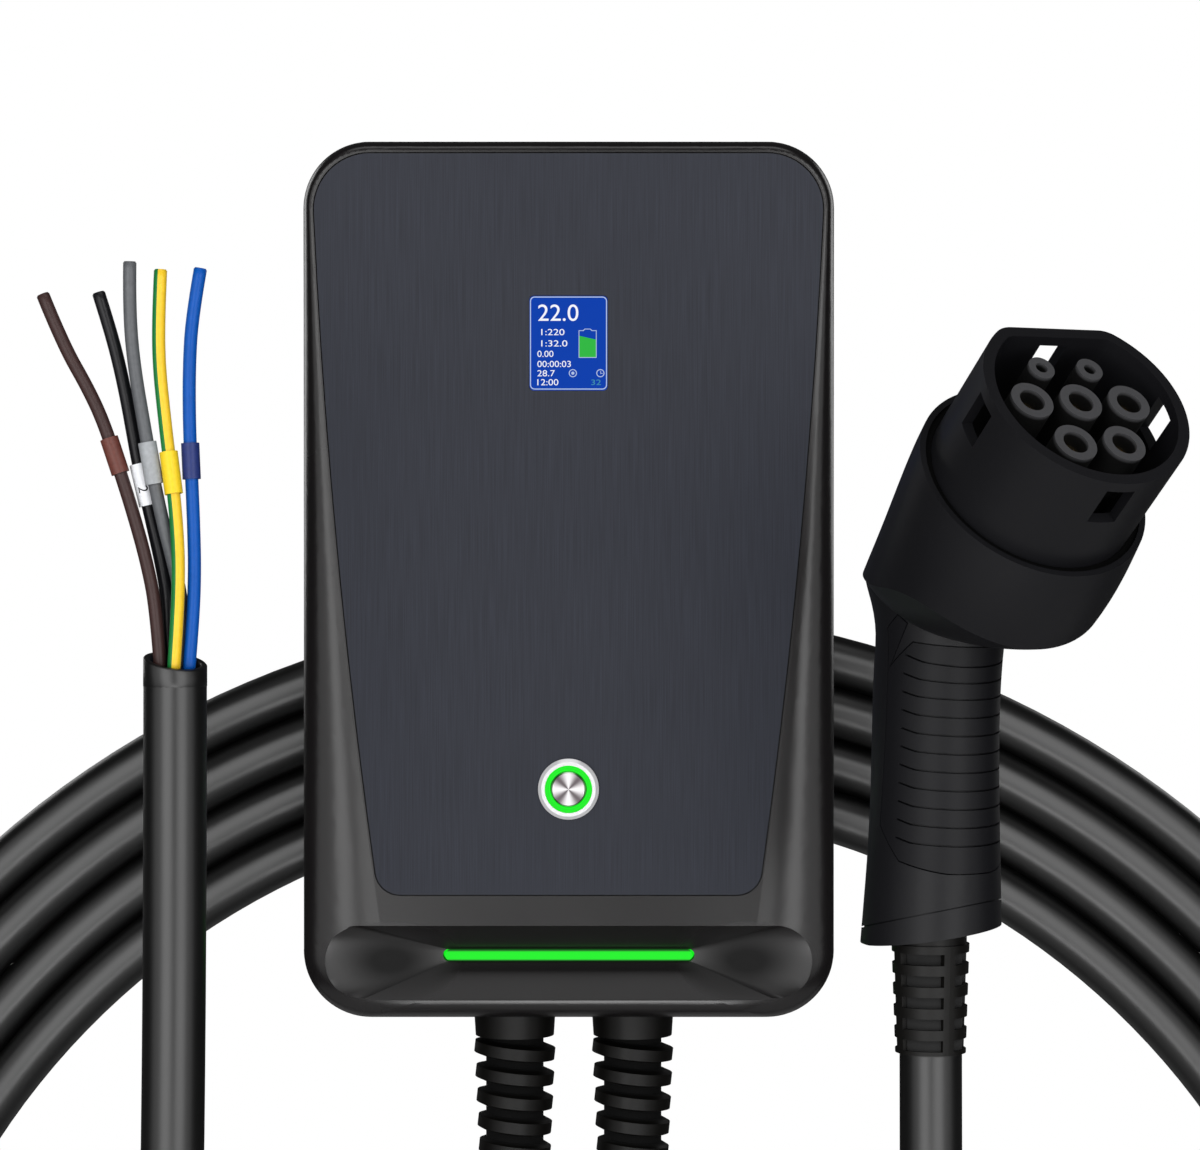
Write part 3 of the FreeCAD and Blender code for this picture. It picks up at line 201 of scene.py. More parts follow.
HOUSING = dict(color=(0.0040, 0.0034, 0.0036), roughness=0.26, specular=0.42, cells=2200, bump=0.06,
               rough_variation=0.02)
CABLE = dict(color=(0.0010, 0.0010, 0.0010), roughness=0.35, cells=500, bump=0.06, rough_variation=0.02)
LIT = dict(roughness=0.5, specular=0.04, bump=0.0)
PLAIN_FINISHES = {
    # Box
    "bracket_steel": dict(color=(0.02, 0.02, 0.021), roughness=0.42, cells=1400, bump=0.3),
    "housing": HOUSING,
    "front": dict(color=(0.0125, 0.014, 0.020), roughness=0.42, metal=0.3, specular=0.18,
                  cells=(2600, 1, 36), variation=0.22, bump=0.25, depth=0.01, anisotropic=0.6),
    "gasket": dict(color=(0.02, 0.02, 0.02), roughness=0.7),
    "nickel": dict(color=(0.7, 0.69, 0.66), roughness=0.3, metal=1.0),
    "bezel_steel": dict(color=(0.52, 0.52, 0.53), roughness=0.3, metal=0.35, variation=0.02, bump=0.02),
    "green_light": dict(color=(0.002, 0.03, 0.003), roughness=0.5, specular=0.1, variation=0.03, bump=0.0,
                        glow=(0.004, 0.80, 0.010)),
    # Inside the box
    "module": dict(color=(0.05, 0.05, 0.05), roughness=0.5),
    "board": dict(color=(0.02, 0.16, 0.07), roughness=0.4, variation=0.2),
    "relay": dict(color=(0.04, 0.04, 0.045), roughness=0.5),
    "transformer": dict(color=(0.55, 0.42, 0.08), roughness=0.5),
    "capacitor": dict(color=(0.03, 0.05, 0.12), roughness=0.3),
    "terminal": dict(color=(0.12, 0.32, 0.16), roughness=0.5),
    "inner_cores": dict(color=(0.25, 0.12, 0.05), roughness=0.45),
    # Display and what it shows
    "display": dict(LIT, color=(0.0, 0.002, 0.02), variation=0.04, glow=(0.0, 0.042, 0.37)),
    "screen_white": dict(LIT, color=(0.02, 0.02, 0.02), variation=0.01, glow=(0.86, 0.88, 0.95)),
    "screen_frame": dict(LIT, color=(0.01, 0.01, 0.02), variation=0.01, glow=(0.42, 0.53, 0.74)),
    "screen_green": dict(LIT, color=(0.002, 0.01, 0.002), variation=0.02, glow=(0.025, 0.45, 0.05)),
    "screen_teal": dict(LIT, color=(0.002, 0.01, 0.01), variation=0.02, glow=(0.045, 0.25, 0.38)),
    # Cables, cores and marker sleeves
    "gland": dict(color=(0.0022, 0.0020, 0.0017), roughness=0.46, specular=0.16, cells=1800, bump=0.25),
    "gland_plastic": dict(color=(0.02, 0.02, 0.02), roughness=0.5),
    "cable": CABLE,
    "brown": dict(color=(0.026, 0.012, 0.011), roughness=0.42, specular=0.2, cells=700),
    "black": dict(color=(0.004, 0.004, 0.005), roughness=0.36, specular=0.2, cells=700),
    "grey": dict(color=(0.062, 0.065, 0.070), roughness=0.40, specular=0.25, cells=700),
    "earth": dict(color=(0.53, 0.345, 0.012), roughness=0.36, specular=0.25, cells=700, variation=0.05),
    "green": dict(color=(0.006, 0.12, 0.025), roughness=0.36, specular=0.25, cells=700, variation=0.05),
    "blue": dict(color=(0.002, 0.052, 0.25), roughness=0.36, specular=0.12, cells=700, variation=0.05),
    "sleeve_light": dict(color=(0.54, 0.55, 0.57), roughness=0.4, specular=0.2, cells=700, variation=0.04),
    "sleeve_grey": dict(color=(0.21, 0.22, 0.23), roughness=0.4, specular=0.2, cells=700),
    "sleeve_brown": dict(color=(0.080, 0.024, 0.018), roughness=0.4, specular=0.2),
    "sleeve_yellow": dict(color=(0.54, 0.38, 0.010), roughness=0.4, specular=0.2, variation=0.04),
    "sleeve_blue": dict(color=(0.010, 0.019, 0.095), roughness=0.4, specular=0.2),
    # Connector
    "gun": dict(color=(0.0042, 0.0042, 0.0050), roughness=0.42, specular=0.14, cells=2600, bump=0.3,
                rough_variation=0.03),
    "grip": dict(color=(0.0038, 0.0038, 0.0046), roughness=0.44, specular=0.11, cells=2600, bump=0.3,
                 rough_variation=0.03),
    "insert": dict(color=(0.001, 0.001, 0.001), roughness=0.6, specular=0.04),
    "contact": dict(color=(0.75, 0.60, 0.34), roughness=0.22, metal=1.0),
}

# Finishes that change over a piece, with painted reflections, a glow and painted shade. Each pair of a
# painted shade says where it is dark and where it has ended.
# Painted reflections on the spun steel: a star of so many bright points, with painted shade between them
STAR_POINTS = 4
STAR_PAINTED_SHADE, STAR_PAINTED_HIGHLIGHT = (0.10, 0.085, 0.09, 1), (0.60, 0.58, 0.59, 1)
GLOW_MIDDLE, GLOW_EDGE = (0.006, 0.84, 0.014, 1), (0.010, 0.10, 0.012, 1)
GLOW_FADES = (1.15, 1.75)
# Painted shade: the colour and roughness that it takes a finish to
SHADE_COLOR, SHADE_ROUGHNESS = (0.0004, 0.0004, 0.0004, 1), 0.95
RELIEF_SHADE = (10.9, 12.2)
CABLE_SHADE = (18.8, 19.6)
TIP_SHADE = (1.4, 0.3)
SCOOP_SHADE = (0.3, 1.25)
SCOOP_SHADE_HALF_X, SCOOP_SHADE_HALF_Z = 20, 11.6


def spun_steel_painted_highlights():
    """Steel turned on a lathe, with painted reflections: bright up, down and to the sides of its centre, and
    painted shade between.
    """
    made = surface("spun_steel_painted_highlights", (0.6, 0.6, 0.6), 0.3, metal=1.0, variation=0.05, bump=0.02)
    tree = made.node_tree
    apart = tree.nodes.new("ShaderNodeSeparateXYZ")
    feed(tree, apart.inputs["Vector"], place_on_object(tree))
    level = number(tree, "SUBTRACT", apart.outputs["Z"], BUTTON_LEVEL * MM)
    angle = number(tree, "ARCTAN2", level, apart.outputs["X"])
    wave = number(tree, "COSINE", number(tree, "MULTIPLY", angle, STAR_POINTS))
    color = mixed(tree, ranged(tree, wave, -1.0, 1.0), STAR_PAINTED_SHADE, STAR_PAINTED_HIGHLIGHT)
    feed(tree, tree.nodes["Principled BSDF"].inputs["Base Color"], color)
    return made


def bar_finish():
    """The light bar's finish: brightest along its middle line, and dim at its edges."""
    made = surface("bar_finish", (0.002, 0.03, 0.003), 0.5, specular=0.1, variation=0.03, bump=0.0)
    tree = made.node_tree
    from_middle = distance(tree, (0, 0, BAR_LEVEL * MM), (0, 0, 1))
    glow = mixed(tree, ranged(tree, from_middle, *[at * MM for at in GLOW_FADES]), GLOW_MIDDLE, GLOW_EDGE)
    feed(tree, tree.nodes["Principled BSDF"].inputs["Emission Color"], glow)
    feed(tree, tree.nodes["Principled BSDF"].inputs["Emission Strength"], 1.0)
    return made


def add_painted_shade(made, measure, dark_at, full_at):
    """Paints shade: takes a finish down to matt black where the measure is at or below dark_at."""
    tree = made.node_tree
    share = ranged(tree, measure, dark_at, full_at)
    shades = (("Base Color", SHADE_COLOR, "RGBA"), ("Roughness", SHADE_ROUGHNESS, "FLOAT"))
    for name, shade, data_type in shades:
        socket = tree.nodes["Principled BSDF"].inputs[name]
        feed(tree, socket, mixed(tree, share, shade, socket.links[0].from_socket, data_type))
    return made


def shell_painted_shade():
    """The housing's finish with painted shade: darker towards the two ends of the scoop, where little light
    gets in.
    """
    made = surface("shell_painted_shade", **HOUSING)
    tree = made.node_tree
    away = vector(tree, "SUBTRACT", place_on_object(tree), (0, 0, SCOOP_LEVEL * MM))
    from_end = vector(tree, "SUBTRACT", vector(tree, "ABSOLUTE", away), (SCOOP_END * MM, 0, 0))
    halves = (1 / (SCOOP_SHADE_HALF_X * MM), 0, 1 / (SCOOP_SHADE_HALF_Z * MM))
    return add_painted_shade(made, vector(tree, "LENGTH", vector(tree, "MULTIPLY", from_end, halves)), *SCOOP_SHADE)


def relief_painted_shade(name, x):
    """A strain relief's finish, with painted shade in the recesses between its ribs."""
    made = surface(name, (0.0022, 0.0020, 0.0017), 0.42, specular=0.15, cells=1800, bump=0.25)
    measure = distance(made.node_tree, (x * MM, GLAND_Y * MM, 0), (1, 1, 0))
    return add_painted_shade(made, measure, *[at * MM for at in RELIEF_SHADE])


def tip_painted_shade():
    """The contact sleeves' finish, with painted shade behind their rims."""
    made = surface("tip_painted_shade", (0.036, 0.036, 0.038), 0.42, specular=0.12, cells=1500, variation=0.06)
    tree = made.node_tree
    front = max(HEAD_AXIS.dot(v.co) for v in NODES["power_sleeves"].data.vertices)
    reach = vector(tree, "DOT_PRODUCT", place_on_object(tree), HEAD_AXIS)
    return add_painted_shade(made, reach, *[front - back * MM for back in TIP_SHADE])


def cord_painted_shade():
    """The cables' finish, with painted shade where the connector's strain relief shades it."""
    made = surface("cord_painted_shade", **CABLE)
    middle = (CONNECTOR_X * MM, CONNECTOR_Y * MM, RELIEF_LEVEL * MM)
    return add_painted_shade(made, distance(made.node_tree, middle), *[at * MM for at in CABLE_SHADE])


FINISHES = {name: surface(name, **settings) for name, settings in PLAIN_FINISHES.items()}
FINISHES["spun_steel_painted_highlights"] = spun_steel_painted_highlights()
FINISHES["bar_finish"] = bar_finish()
FINISHES["shell_painted_shade"] = shell_painted_shade()
# Strain reliefs with painted shade between their ribs
FINISHES["supply_relief"] = relief_painted_shade("supply_relief", SUPPLY_X)
FINISHES["charge_relief"] = relief_painted_shade("charge_relief", CHARGE_X)
FINISHES["tip_painted_shade"] = tip_painted_shade()
FINISHES["cord_painted_shade"] = cord_painted_shade()

# Nodes whose finish isn't simply that of their slot
NODE_FINISHES = {
    # The button cap's spun steel has painted reflections in its colour
    "button_cap": "spun_steel_painted_highlights",
    "button_body": "bezel_steel",
    "light_bar": "bar_finish",
    # The front shell has painted shade at the ends of its scoop
    "front_shell": "shell_painted_shade",
    # Strain reliefs: painted shade between their ribs
    "supply_relief": "supply_relief",
    "charge_relief": "charge_relief",
    "grey_sleeve": "sleeve_grey",
    "power_sleeves": "tip_painted_shade",
    "signal_sleeves": "tip_painted_shade",
}


def dress_nodes():
    for name, piece in NODES.items():
        piece.data.materials.clear()
        piece.data.materials.append(FINISHES[NODE_FINISHES.get(name, SLOT_OF[name])])


dress_nodes()

# Cables
CORD_RADIUS = 9.5
ROUND_STEPS = 12
COIL_X, COIL_Y, COIL_Z = 15.0, -12.7, -362.0
FIRST_TURN, TURN_PITCH = 284.9, 18.9
TURN_SWAY = 1.5
LEAD_ANGLE, TAIL_ANGLE = -36.4, 250.0
POINT_ANGLE = 15.0
SHIFT_START, SHIFT_END = 262.0, 322.0
SHIFTS = 3
LEAD = [
    (CHARGE_X, GLAND_Y, GLAND_TOP),
    (CHARGE_X, GLAND_Y, -245.0),
    (CHARGE_X, GLAND_Y, -315.0),
    (24.0, COIL_Y, -440.0),
    (24.0, COIL_Y, -505.8),
    (62.0, COIL_Y, -563.5),
    (125.3, COIL_Y, -590.9),
    (193.3, COIL_Y, -579.0),
]
TAIL = [
    (-25.0, -34.0, -706.0),
    (56.0, -98.0, -688.0),
    (104.0, -176.0, -632.0),
    (118.0, -232.0, -540.0),
    (114.0, -250.0, -420.0),
    (CONNECTOR_X, CONNECTOR_Y, -270.0),
    (CONNECTOR_X, CONNECTOR_Y, -110.1),
]
SUPPLY_HEADING = (-0.4358, -0.9001)
SUPPLY_END_FORWARD = 221.6
SUPPLY = [
    (0.0, GLAND_TOP),
    (0.0, -245.0),
    (0.0, -315.0),
    (-14.0, -440.0),
    (56.0, -510.0),
    (156.0, -510.0),
    (226.0, -440.0),
    (231.0, -320.0),
    (SUPPLY_END_FORWARD, -180.0),
    (SUPPLY_END_FORWARD, -29.2),
]
JACKET_TOP = -25.2


def route(name, points, radius, steps):
    """A round cord along a smooth spline with these points as its control points."""
    curve = bpy.data.curves.new(name, "CURVE")
    curve.dimensions = "3D"
    curve.resolution_u = steps
    spline = curve.splines.new("NURBS")
    spline.points.add(len(points) - 1)
    for spot, point in zip(spline.points, points):
        spot.co = (*point, 1.0)
    spline.order_u = 3
    spline.use_endpoint_u = True
    curve.bevel_depth = radius
    curve.bevel_resolution = ROUND_STEPS
    curve.use_fill_caps = radius > 0
    return curve


def turns_done(degrees):
    """How many turns out the coil is: each turn moves out in a short stretch at the bottom."""
    done = 0.0
    for k in range(SHIFTS):
        share = (degrees - SHIFT_START - 360 * k) / (SHIFT_END - SHIFT_START)
        share = min(max(share, 0.0), 1.0)
        done += share * share * (3 - 2 * share)
    return done


def coil_points():
    """The coil's turns, side by side, every other one a little further forward or back."""
    last = TAIL_ANGLE + 360 * SHIFTS
    steps = round((last - LEAD_ANGLE) / POINT_ANGLE)
    outward = 1 / math.cos(math.radians(POINT_ANGLE) / 2)
    points = []
    for k in range(steps + 1):
        degrees = LEAD_ANGLE + (last - LEAD_ANGLE) * k / steps
        done = turns_done(degrees)
        reach = (FIRST_TURN + TURN_PITCH * done) * (outward if 0 < k < steps else 1.0)
        angle = math.radians(degrees)
        y = COIL_Y + TURN_SWAY * (1 - math.cos(math.pi * done)) / 2
        points.append((COIL_X + reach * math.cos(angle), y, COIL_Z + reach * math.sin(angle)))
    return points


def in_supply_plane(forward, z):
    """A place in the upright plane that the supply cable hangs in."""
    return SUPPLY_X + SUPPLY_HEADING[0] * forward, GLAND_Y + SUPPLY_HEADING[1] * forward, z


def build_cord(name, points, steps, covered):
    """A cable along its route, in place of the CAD nodes that it covers."""
    cord = add_piece(name, route(name, metres(points), CORD_RADIUS * MM, steps))
    # Painted shade where the connector's strain relief covers the cable
    cord.data.materials.append(FINISHES["cord_painted_shade"])
    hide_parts(*covered)
    return cord


charging_cord = build_cord("charging_cord", LEAD + coil_points() + TAIL, steps=8,
                           covered=("charge_lead", "cable_coil", "charge_tail"))
supply_cord = build_cord("supply_cord", [in_supply_plane(*p) for p in SUPPLY], steps=10,
                         covered=("supply_cable",))

# Cores of the supply cable, as offsets from the top of its jacket
SUPPLY_END = Vector(in_supply_plane(SUPPLY_END_FORWARD, JACKET_TOP))
CORE_RADIUS = 2.0
CORE_SIDES = 24
CORE_STEPS = 8
CUT_START, CUT_END, CUT_DEPTH = 0.35, 0.25, 0.25
GREEN_FROM, GREEN_TO = 0.33, 0.67
CORE_ROUTES = {
    "brown": [(-4.1, -1.3, -3.5), (-5.5, -1.2, 16.5), (-8.6, -0.8, 31.4), (-12.5, -0.4, 45.1),
              (-16.4, 0, 57.3), (-21.5, 0, 72.7), (-26.3, 0, 83.0), (-33.7, 0, 96.0), (-39.8, 0, 111.0)],
    "black": [(-2.5, 3.5, -3.5), (-2.5, 3.5, 17.6), (-4.5, 3.6, 29.7), (-8.6, 3.4, 47.7),
              (-11.5, 3.2, 60.3), (-12.2, 3.0, 64.0), (-15.6, 3.0, 83.0), (-19.5, 3.2, 99.2),
              (-23.6, 3.4, 111.8)],
    "grey": [(2.5, 3.5, -3.5), (2.3, 2.6, 17.0), (-0.9, 0.8, 31.4), (-3.4, -0.6, 41.7),
             (-6.0, -1.5, 54.0), (-8.2, -1.6, 66.6), (-12.2, -2.2, 90.0), (-13.4, -2.8, 107.2),
             (-13.2, -3.0, 120.5)],
    "earth": [(0, -4.3, -3.5), (1.2, -4.4, 14.1), (1.6, -4.4, 27.9), (1.2, -4.0, 38.2), (0, -3.0, 51.0),
              (-1.8, -2.0, 64.0), (-3.1, -1.4, 74.4), (-4.8, -0.8, 90.0), (-5.0, -0.2, 104.5),
              (-4.4, 0, 118.4)],
    "blue": [(4.1, -1.3, -3.5), (5.5, -1.2, 13.3), (6.0, -1.0, 28.0), (5.6, -0.7, 42.5),
             (5.0, -0.4, 55.5), (4.2, 0, 72.7), (4.2, 0, 90.0), (5.1, 0, 104.5), (7.6, 0, 118.8)],
}


def mesh_from(curve):
    """The mesh of a curve or text, which is used up."""
    reader = bpy.data.objects.new("reading", curve)
    bpy.context.scene.collection.objects.link(reader)
    bpy.context.view_layer.update()
    mesh = bpy.data.meshes.new_from_object(reader)
    bpy.data.objects.remove(reader)
    bpy.data.curves.remove(curve)
    return mesh


def spline_points(points):
    """Points read from the smooth spline that these control points make."""
    mesh = mesh_from(route("reading", points, 0.0, CORE_STEPS))
    line = [v.co.copy() for v in mesh.vertices]
    bpy.data.meshes.remove(mesh)
    return line


def rings_along(line, radius_at, sides):
    """Rings of points round a line; radius_at gives the radius by how much of the line is left."""
    lengths = [0.0]
    for a, b in zip(line, line[1:]):
        lengths.append(lengths[-1] + (b - a).length)
    side = Vector((1, 0, 0))
    rings = []
    for k, spot in enumerate(line):
        ahead = line[min(k + 1, len(line) - 1)] - line[max(k - 1, 0)]
        ahead.normalize()
        side = (side - ahead * side.dot(ahead)).normalized()
        across = ahead.cross(side)
        radius = radius_at(lengths[-1] - lengths[k])
        rings.append([spot + (side * math.cos(t) + across * math.sin(t)) * radius
                      for t in (2 * math.pi * n / sides for n in range(sides))])
    return rings


def skinned(name, rings, stripes=None):
    """A closed skin over rings of points, with flat ends; stripes gives the material for each side."""
    mesh = bmesh.new()
    verts = [[mesh.verts.new(p) for p in ring] for ring in rings]
    sides = len(verts[0])
    for low, high in zip(verts, verts[1:]):
        for n in range(sides):
            after = (n + 1) % sides
            face = mesh.faces.new((low[n], low[after], high[after], high[n]))
            face.smooth = True
            face.material_index = stripes(n / sides) if stripes else 0
    mesh.faces.new(list(reversed(verts[0])))
    mesh.faces.new(verts[-1])
    return mesh_data(name, mesh)


def core_radius(left):
    """The insulation's radius, less at the softened edge of the cut."""
    edge = (CUT_START + CUT_END) / 2 * MM
    return CORE_RADIUS * MM if left > edge else (CORE_RADIUS - CUT_DEPTH) * MM


def green_side(share):
    return 1 if GREEN_FROM < share < GREEN_TO else 0


def build_core(colour, offsets):
    """The insulation of a core, in place of its CAD node."""
    line = spline_points(metres([SUPPLY_END + Vector(p) for p in offsets]))
    end = line[-1]
    ahead = (end - line[-2]).normalized()
    line[-1:] = [end - ahead * CUT_START * MM, end - ahead * CUT_END * MM, end]
    stripes = green_side if colour == "earth" else None
    data = skinned(f"{colour}_wire", rings_along(line, core_radius, CORE_SIDES), stripes)
    data.materials.append(FINISHES[colour])
    if stripes:
        data.materials.append(FINISHES["green"])
    made = add_piece(f"{colour}_wire", data)
    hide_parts(f"{colour}_core")
    return made


core_pieces = [build_core(colour, offsets) for colour, offsets in CORE_ROUTES.items()]

# Open end of the supply cable's jacket, cut a little aslant, with its filling below
JACKET_SIDES = 40
JACKET_SLANT = (-0.16, 0.23)
JACKET_RINGS = [
    # radius, level above the jacket's top, share of the slant
    (9.3, -7.0, 0),
    (9.55, -6.5, 0),
    (9.55, 0.6, 1),
    (9.3, 0.9, 1),
    (7.9, 0.9, 1),
    (7.6, 0.6, 1),
    (7.6, -3.4, 0),
]


def jacket_ring(radius, level, slant):
    points = []
    for k in range(JACKET_SIDES):
        angle = 2 * math.pi * k / JACKET_SIDES
        x, y = radius * math.cos(angle), radius * math.sin(angle)
        rise = slant * (JACKET_SLANT[0] * x + JACKET_SLANT[1] * y)
        points.append(SUPPLY_END + Vector((x, y, level + rise)))
    return metres(points)


def build_jacket_end():
    data = skinned("jacket_end", [jacket_ring(*row) for row in JACKET_RINGS])
    data.materials.append(FINISHES["cable"])
    return add_piece("jacket_end", data)


jacket_end = build_jacket_end()

# Plain numeral on the black core's sleeve
NUMERAL = "2"
NUMERAL_HEIGHT, NUMERAL_RADIUS = 3.0, 2.79
NUMERAL_DROP = 7.0
SLEEVE_FOOT, SLEEVE_TOP = [SUPPLY_END + Vector(p) for p in CORE_ROUTES["black"][3:5]]


def flat_letters(words):
    """The outline mesh of some numerals in Blender's own plain letters, and its extent."""
    curve = bpy.data.curves.new("reading", "FONT")
    curve.body = words
    mesh = mesh_from(curve)
    xs = [v.co.x for v in mesh.vertices]
    ys = [v.co.y for v in mesh.vertices]
    return mesh, (min(xs), max(xs)), (min(ys), max(ys))


def build_numeral():
    """The numeral bent round the sleeve, with its left side up."""
    data, (left, _), (foot, head) = flat_letters(NUMERAL)
    scale = NUMERAL_HEIGHT / (head - foot)
    along = (SLEEVE_TOP - SLEEVE_FOOT).normalized()
    side = Vector((1, 0, 0))
    side = (side - along * side.dot(along)).normalized()
    outward = side.cross(along)
    for vertex in data.vertices:
        down = NUMERAL_DROP + (vertex.co.x - left) * scale
        angle = ((vertex.co.y - foot) * scale - NUMERAL_HEIGHT / 2) / NUMERAL_RADIUS
        offset = (side * math.sin(angle) + outward * math.cos(angle)) * NUMERAL_RADIUS
        vertex.co = (SLEEVE_TOP - along * down + offset) * MM
    data.materials.clear()
    data.materials.append(FINISHES["black"])
    return add_piece("sleeve_numeral", data)


sleeve_numeral = build_numeral()

# Display: plain numerals and signs on the lit screen, as places from its centre
NUMERALS = [
    # words, left edge, right edge, baseline, height, finish
    ("22.0", -10.5, 3.4, 7.6, 5.7, "screen_white"),
    ("1:220", -9.4, -1.4, 2.7, 2.15, "screen_white"),
    ("1:32.0", -9.4, -0.4, -1.2, 2.15, "screen_white"),
    ("0.00", -10.75, -5.2, -4.8, 2.15, "screen_white"),
    ("00:00:03", -10.75, 0.8, -8.3, 2.15, "screen_white"),
    ("28.7", -10.75, -4.7, -11.5, 2.15, "screen_white"),
    ("12:00", -10.75, -3.5, -14.6, 2.15, "screen_white"),
    ("32", 7.8, 11.2, -14.5, 1.9, "screen_teal"),
]
SIGN_FINISHES = ("screen_white", "screen_frame", "screen_green", "screen_teal")
SIGN_LIFT, WORD_LIFT = 0.04, 0.01
BORDER_OUTER, BORDER_INNER = 0.15, 0.5
BORDER_CORNER = 1.6
BATTERY_LEFT, BATTERY_RIGHT = 3.5, 9.7
BATTERY_LOW, BATTERY_HIGH = -5.1, 4.4
BATTERY_EDGE = 0.24
NUB_FOOT, NUB_TOP = (5.0, 8.2), (5.6, 7.6)
NUB_RISE, NUB_FOOT_EDGE, NUB_TOP_EDGE = 0.55, 0.2, 0.1
CHARGE_LEFT, CHARGE_RIGHT = 2.5, 1.2
SIGN_LEVEL = -10.4
DOT_X, CLOCK_X = 1.5, 11.0
SIGN_OUTER, SIGN_INNER, DOT_RADIUS = 1.4, 1.1, 0.55
HAND_LENGTH, HAND_WIDTH = 0.8, 0.2
CORNER_STEPS, CIRCLE_STEPS, DOT_STEPS = 6, 28, 12


class Signs:
    """Flat shapes just in front of the screen, gathered in one mesh."""

    def __init__(self, centre, front):
        self.mesh = bmesh.new()
        self.centre, self.front = centre, front

    def vertex(self, x, z, lift=0.0):
        place = Vector((self.centre[0] + x, self.front - SIGN_LIFT - lift, self.centre[1] + z))
        return self.mesh.verts.new(place * MM)

    def fill(self, vertices, finish):
        face = self.mesh.faces.new(vertices)
        face.material_index = SIGN_FINISHES.index(finish)

    def shape(self, points, finish):
        self.fill([self.vertex(x, z) for x, z in points], finish)

    def band(self, outer, inner, finish):
        """The band between two closed outlines with as many points."""
        for k in range(len(outer)):
            after = (k + 1) % len(outer)
            self.shape([outer[k], outer[after], inner[after], inner[k]], finish)

    def words(self, words, left, right, base, height, finish):
        """Numerals between a left and a right edge, on a baseline."""
        source, (from_x, to_x), (from_y, to_y) = flat_letters(words)
        wide = (right - left) / (to_x - from_x)
        high = height / (to_y - from_y)
        made = [self.vertex(left + (v.co.x - from_x) * wide, base + (v.co.y - from_y) * high, WORD_LIFT)
                for v in source.vertices]
        for polygon in source.polygons:
            self.fill([made[i] for i in polygon.vertices], finish)
        bpy.data.meshes.remove(source)

    def finished(self, name):
        """The mesh data, with all faces turned to the front."""
        bmesh.ops.recalc_face_normals(self.mesh, faces=self.mesh.faces)
        for face in self.mesh.faces:
            if face.normal.y > 0:
                face.normal_flip()
        data = mesh_data(name, self.mesh)
        for finish in SIGN_FINISHES:
            data.materials.append(FINISHES[finish])
        return data


def rectangle(left, right, low, high):
    return [(left, low), (right, low), (right, high), (left, high)]


def round_corners(half_x, half_z, radius):
    """A rectangle with round corners about the screen's centre."""
    points = []
    for k, (sx, sz) in enumerate(((1, 1), (-1, 1), (-1, -1), (1, -1))):
        for n in range(CORNER_STEPS + 1):
            angle = math.pi / 2 * (k + n / CORNER_STEPS)
            points.append((sx * (half_x - radius) + radius * math.cos(angle),
                           sz * (half_z - radius) + radius * math.sin(angle)))
    return points


def circle(radius, x, z, steps):
    angles = [2 * math.pi * k / steps for k in range(steps)]
    return [(x + radius * math.cos(angle), z + radius * math.sin(angle)) for angle in angles]


def battery_outline(edge, foot_edge, top_edge):
    """The battery's outline, moved in by an edge, and the ends of its nub's foot and top by theirs."""
    left, right = BATTERY_LEFT + edge, BATTERY_RIGHT - edge
    low, high = BATTERY_LOW + edge, BATTERY_HIGH - edge
    nub = [(NUB_FOOT[1] - foot_edge, high), (NUB_TOP[1] - top_edge, high + NUB_RISE),
           (NUB_TOP[0] + top_edge, high + NUB_RISE), (NUB_FOOT[0] + foot_edge, high)]
    return [(left, low), (right, low), (right, high), *nub, (left, high)]


def draw_border(signs, half_x, half_z):
    outlines = [round_corners(half_x - edge, half_z - edge, BORDER_CORNER - (edge - BORDER_OUTER))
                for edge in (BORDER_OUTER, BORDER_INNER)]
    signs.band(*outlines, "screen_frame")


def draw_battery(signs):
    inner = battery_outline(BATTERY_EDGE, NUB_FOOT_EDGE, NUB_TOP_EDGE)
    signs.band(battery_outline(0, 0, 0), inner, "screen_frame")
    left, right, low = BATTERY_LEFT + BATTERY_EDGE, BATTERY_RIGHT - BATTERY_EDGE, BATTERY_LOW + BATTERY_EDGE
    signs.shape([(left, low), (right, low), (right, CHARGE_RIGHT), (left, CHARGE_LEFT)], "screen_green")


def draw_round_signs(signs):
    """A dot in a ring, and a clock with its two hands."""
    for x in (DOT_X, CLOCK_X):
        rims = [circle(radius, x, SIGN_LEVEL, CIRCLE_STEPS) for radius in (SIGN_OUTER, SIGN_INNER)]
        signs.band(*rims, "screen_frame")
    upright = rectangle(CLOCK_X, CLOCK_X + HAND_WIDTH, SIGN_LEVEL - HAND_WIDTH / 2, SIGN_LEVEL + HAND_LENGTH)
    level = rectangle(CLOCK_X, CLOCK_X + HAND_LENGTH, SIGN_LEVEL - HAND_WIDTH, SIGN_LEVEL)
    for outline in (upright, level, circle(DOT_RADIUS, DOT_X, SIGN_LEVEL, DOT_STEPS)):
        signs.shape(outline, "screen_frame")


def build_signs():
    low, high = [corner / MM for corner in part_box("display_screen")]
    signs = Signs(((low.x + high.x) / 2, (low.z + high.z) / 2), low.y)
    draw_border(signs, (high.x - low.x) / 2, (high.z - low.z) / 2)
    for row in NUMERALS:
        signs.words(*row)
    draw_battery(signs)
    draw_round_signs(signs)
    add_piece("screen_signs", signs.finished("screen_signs"))


build_signs()

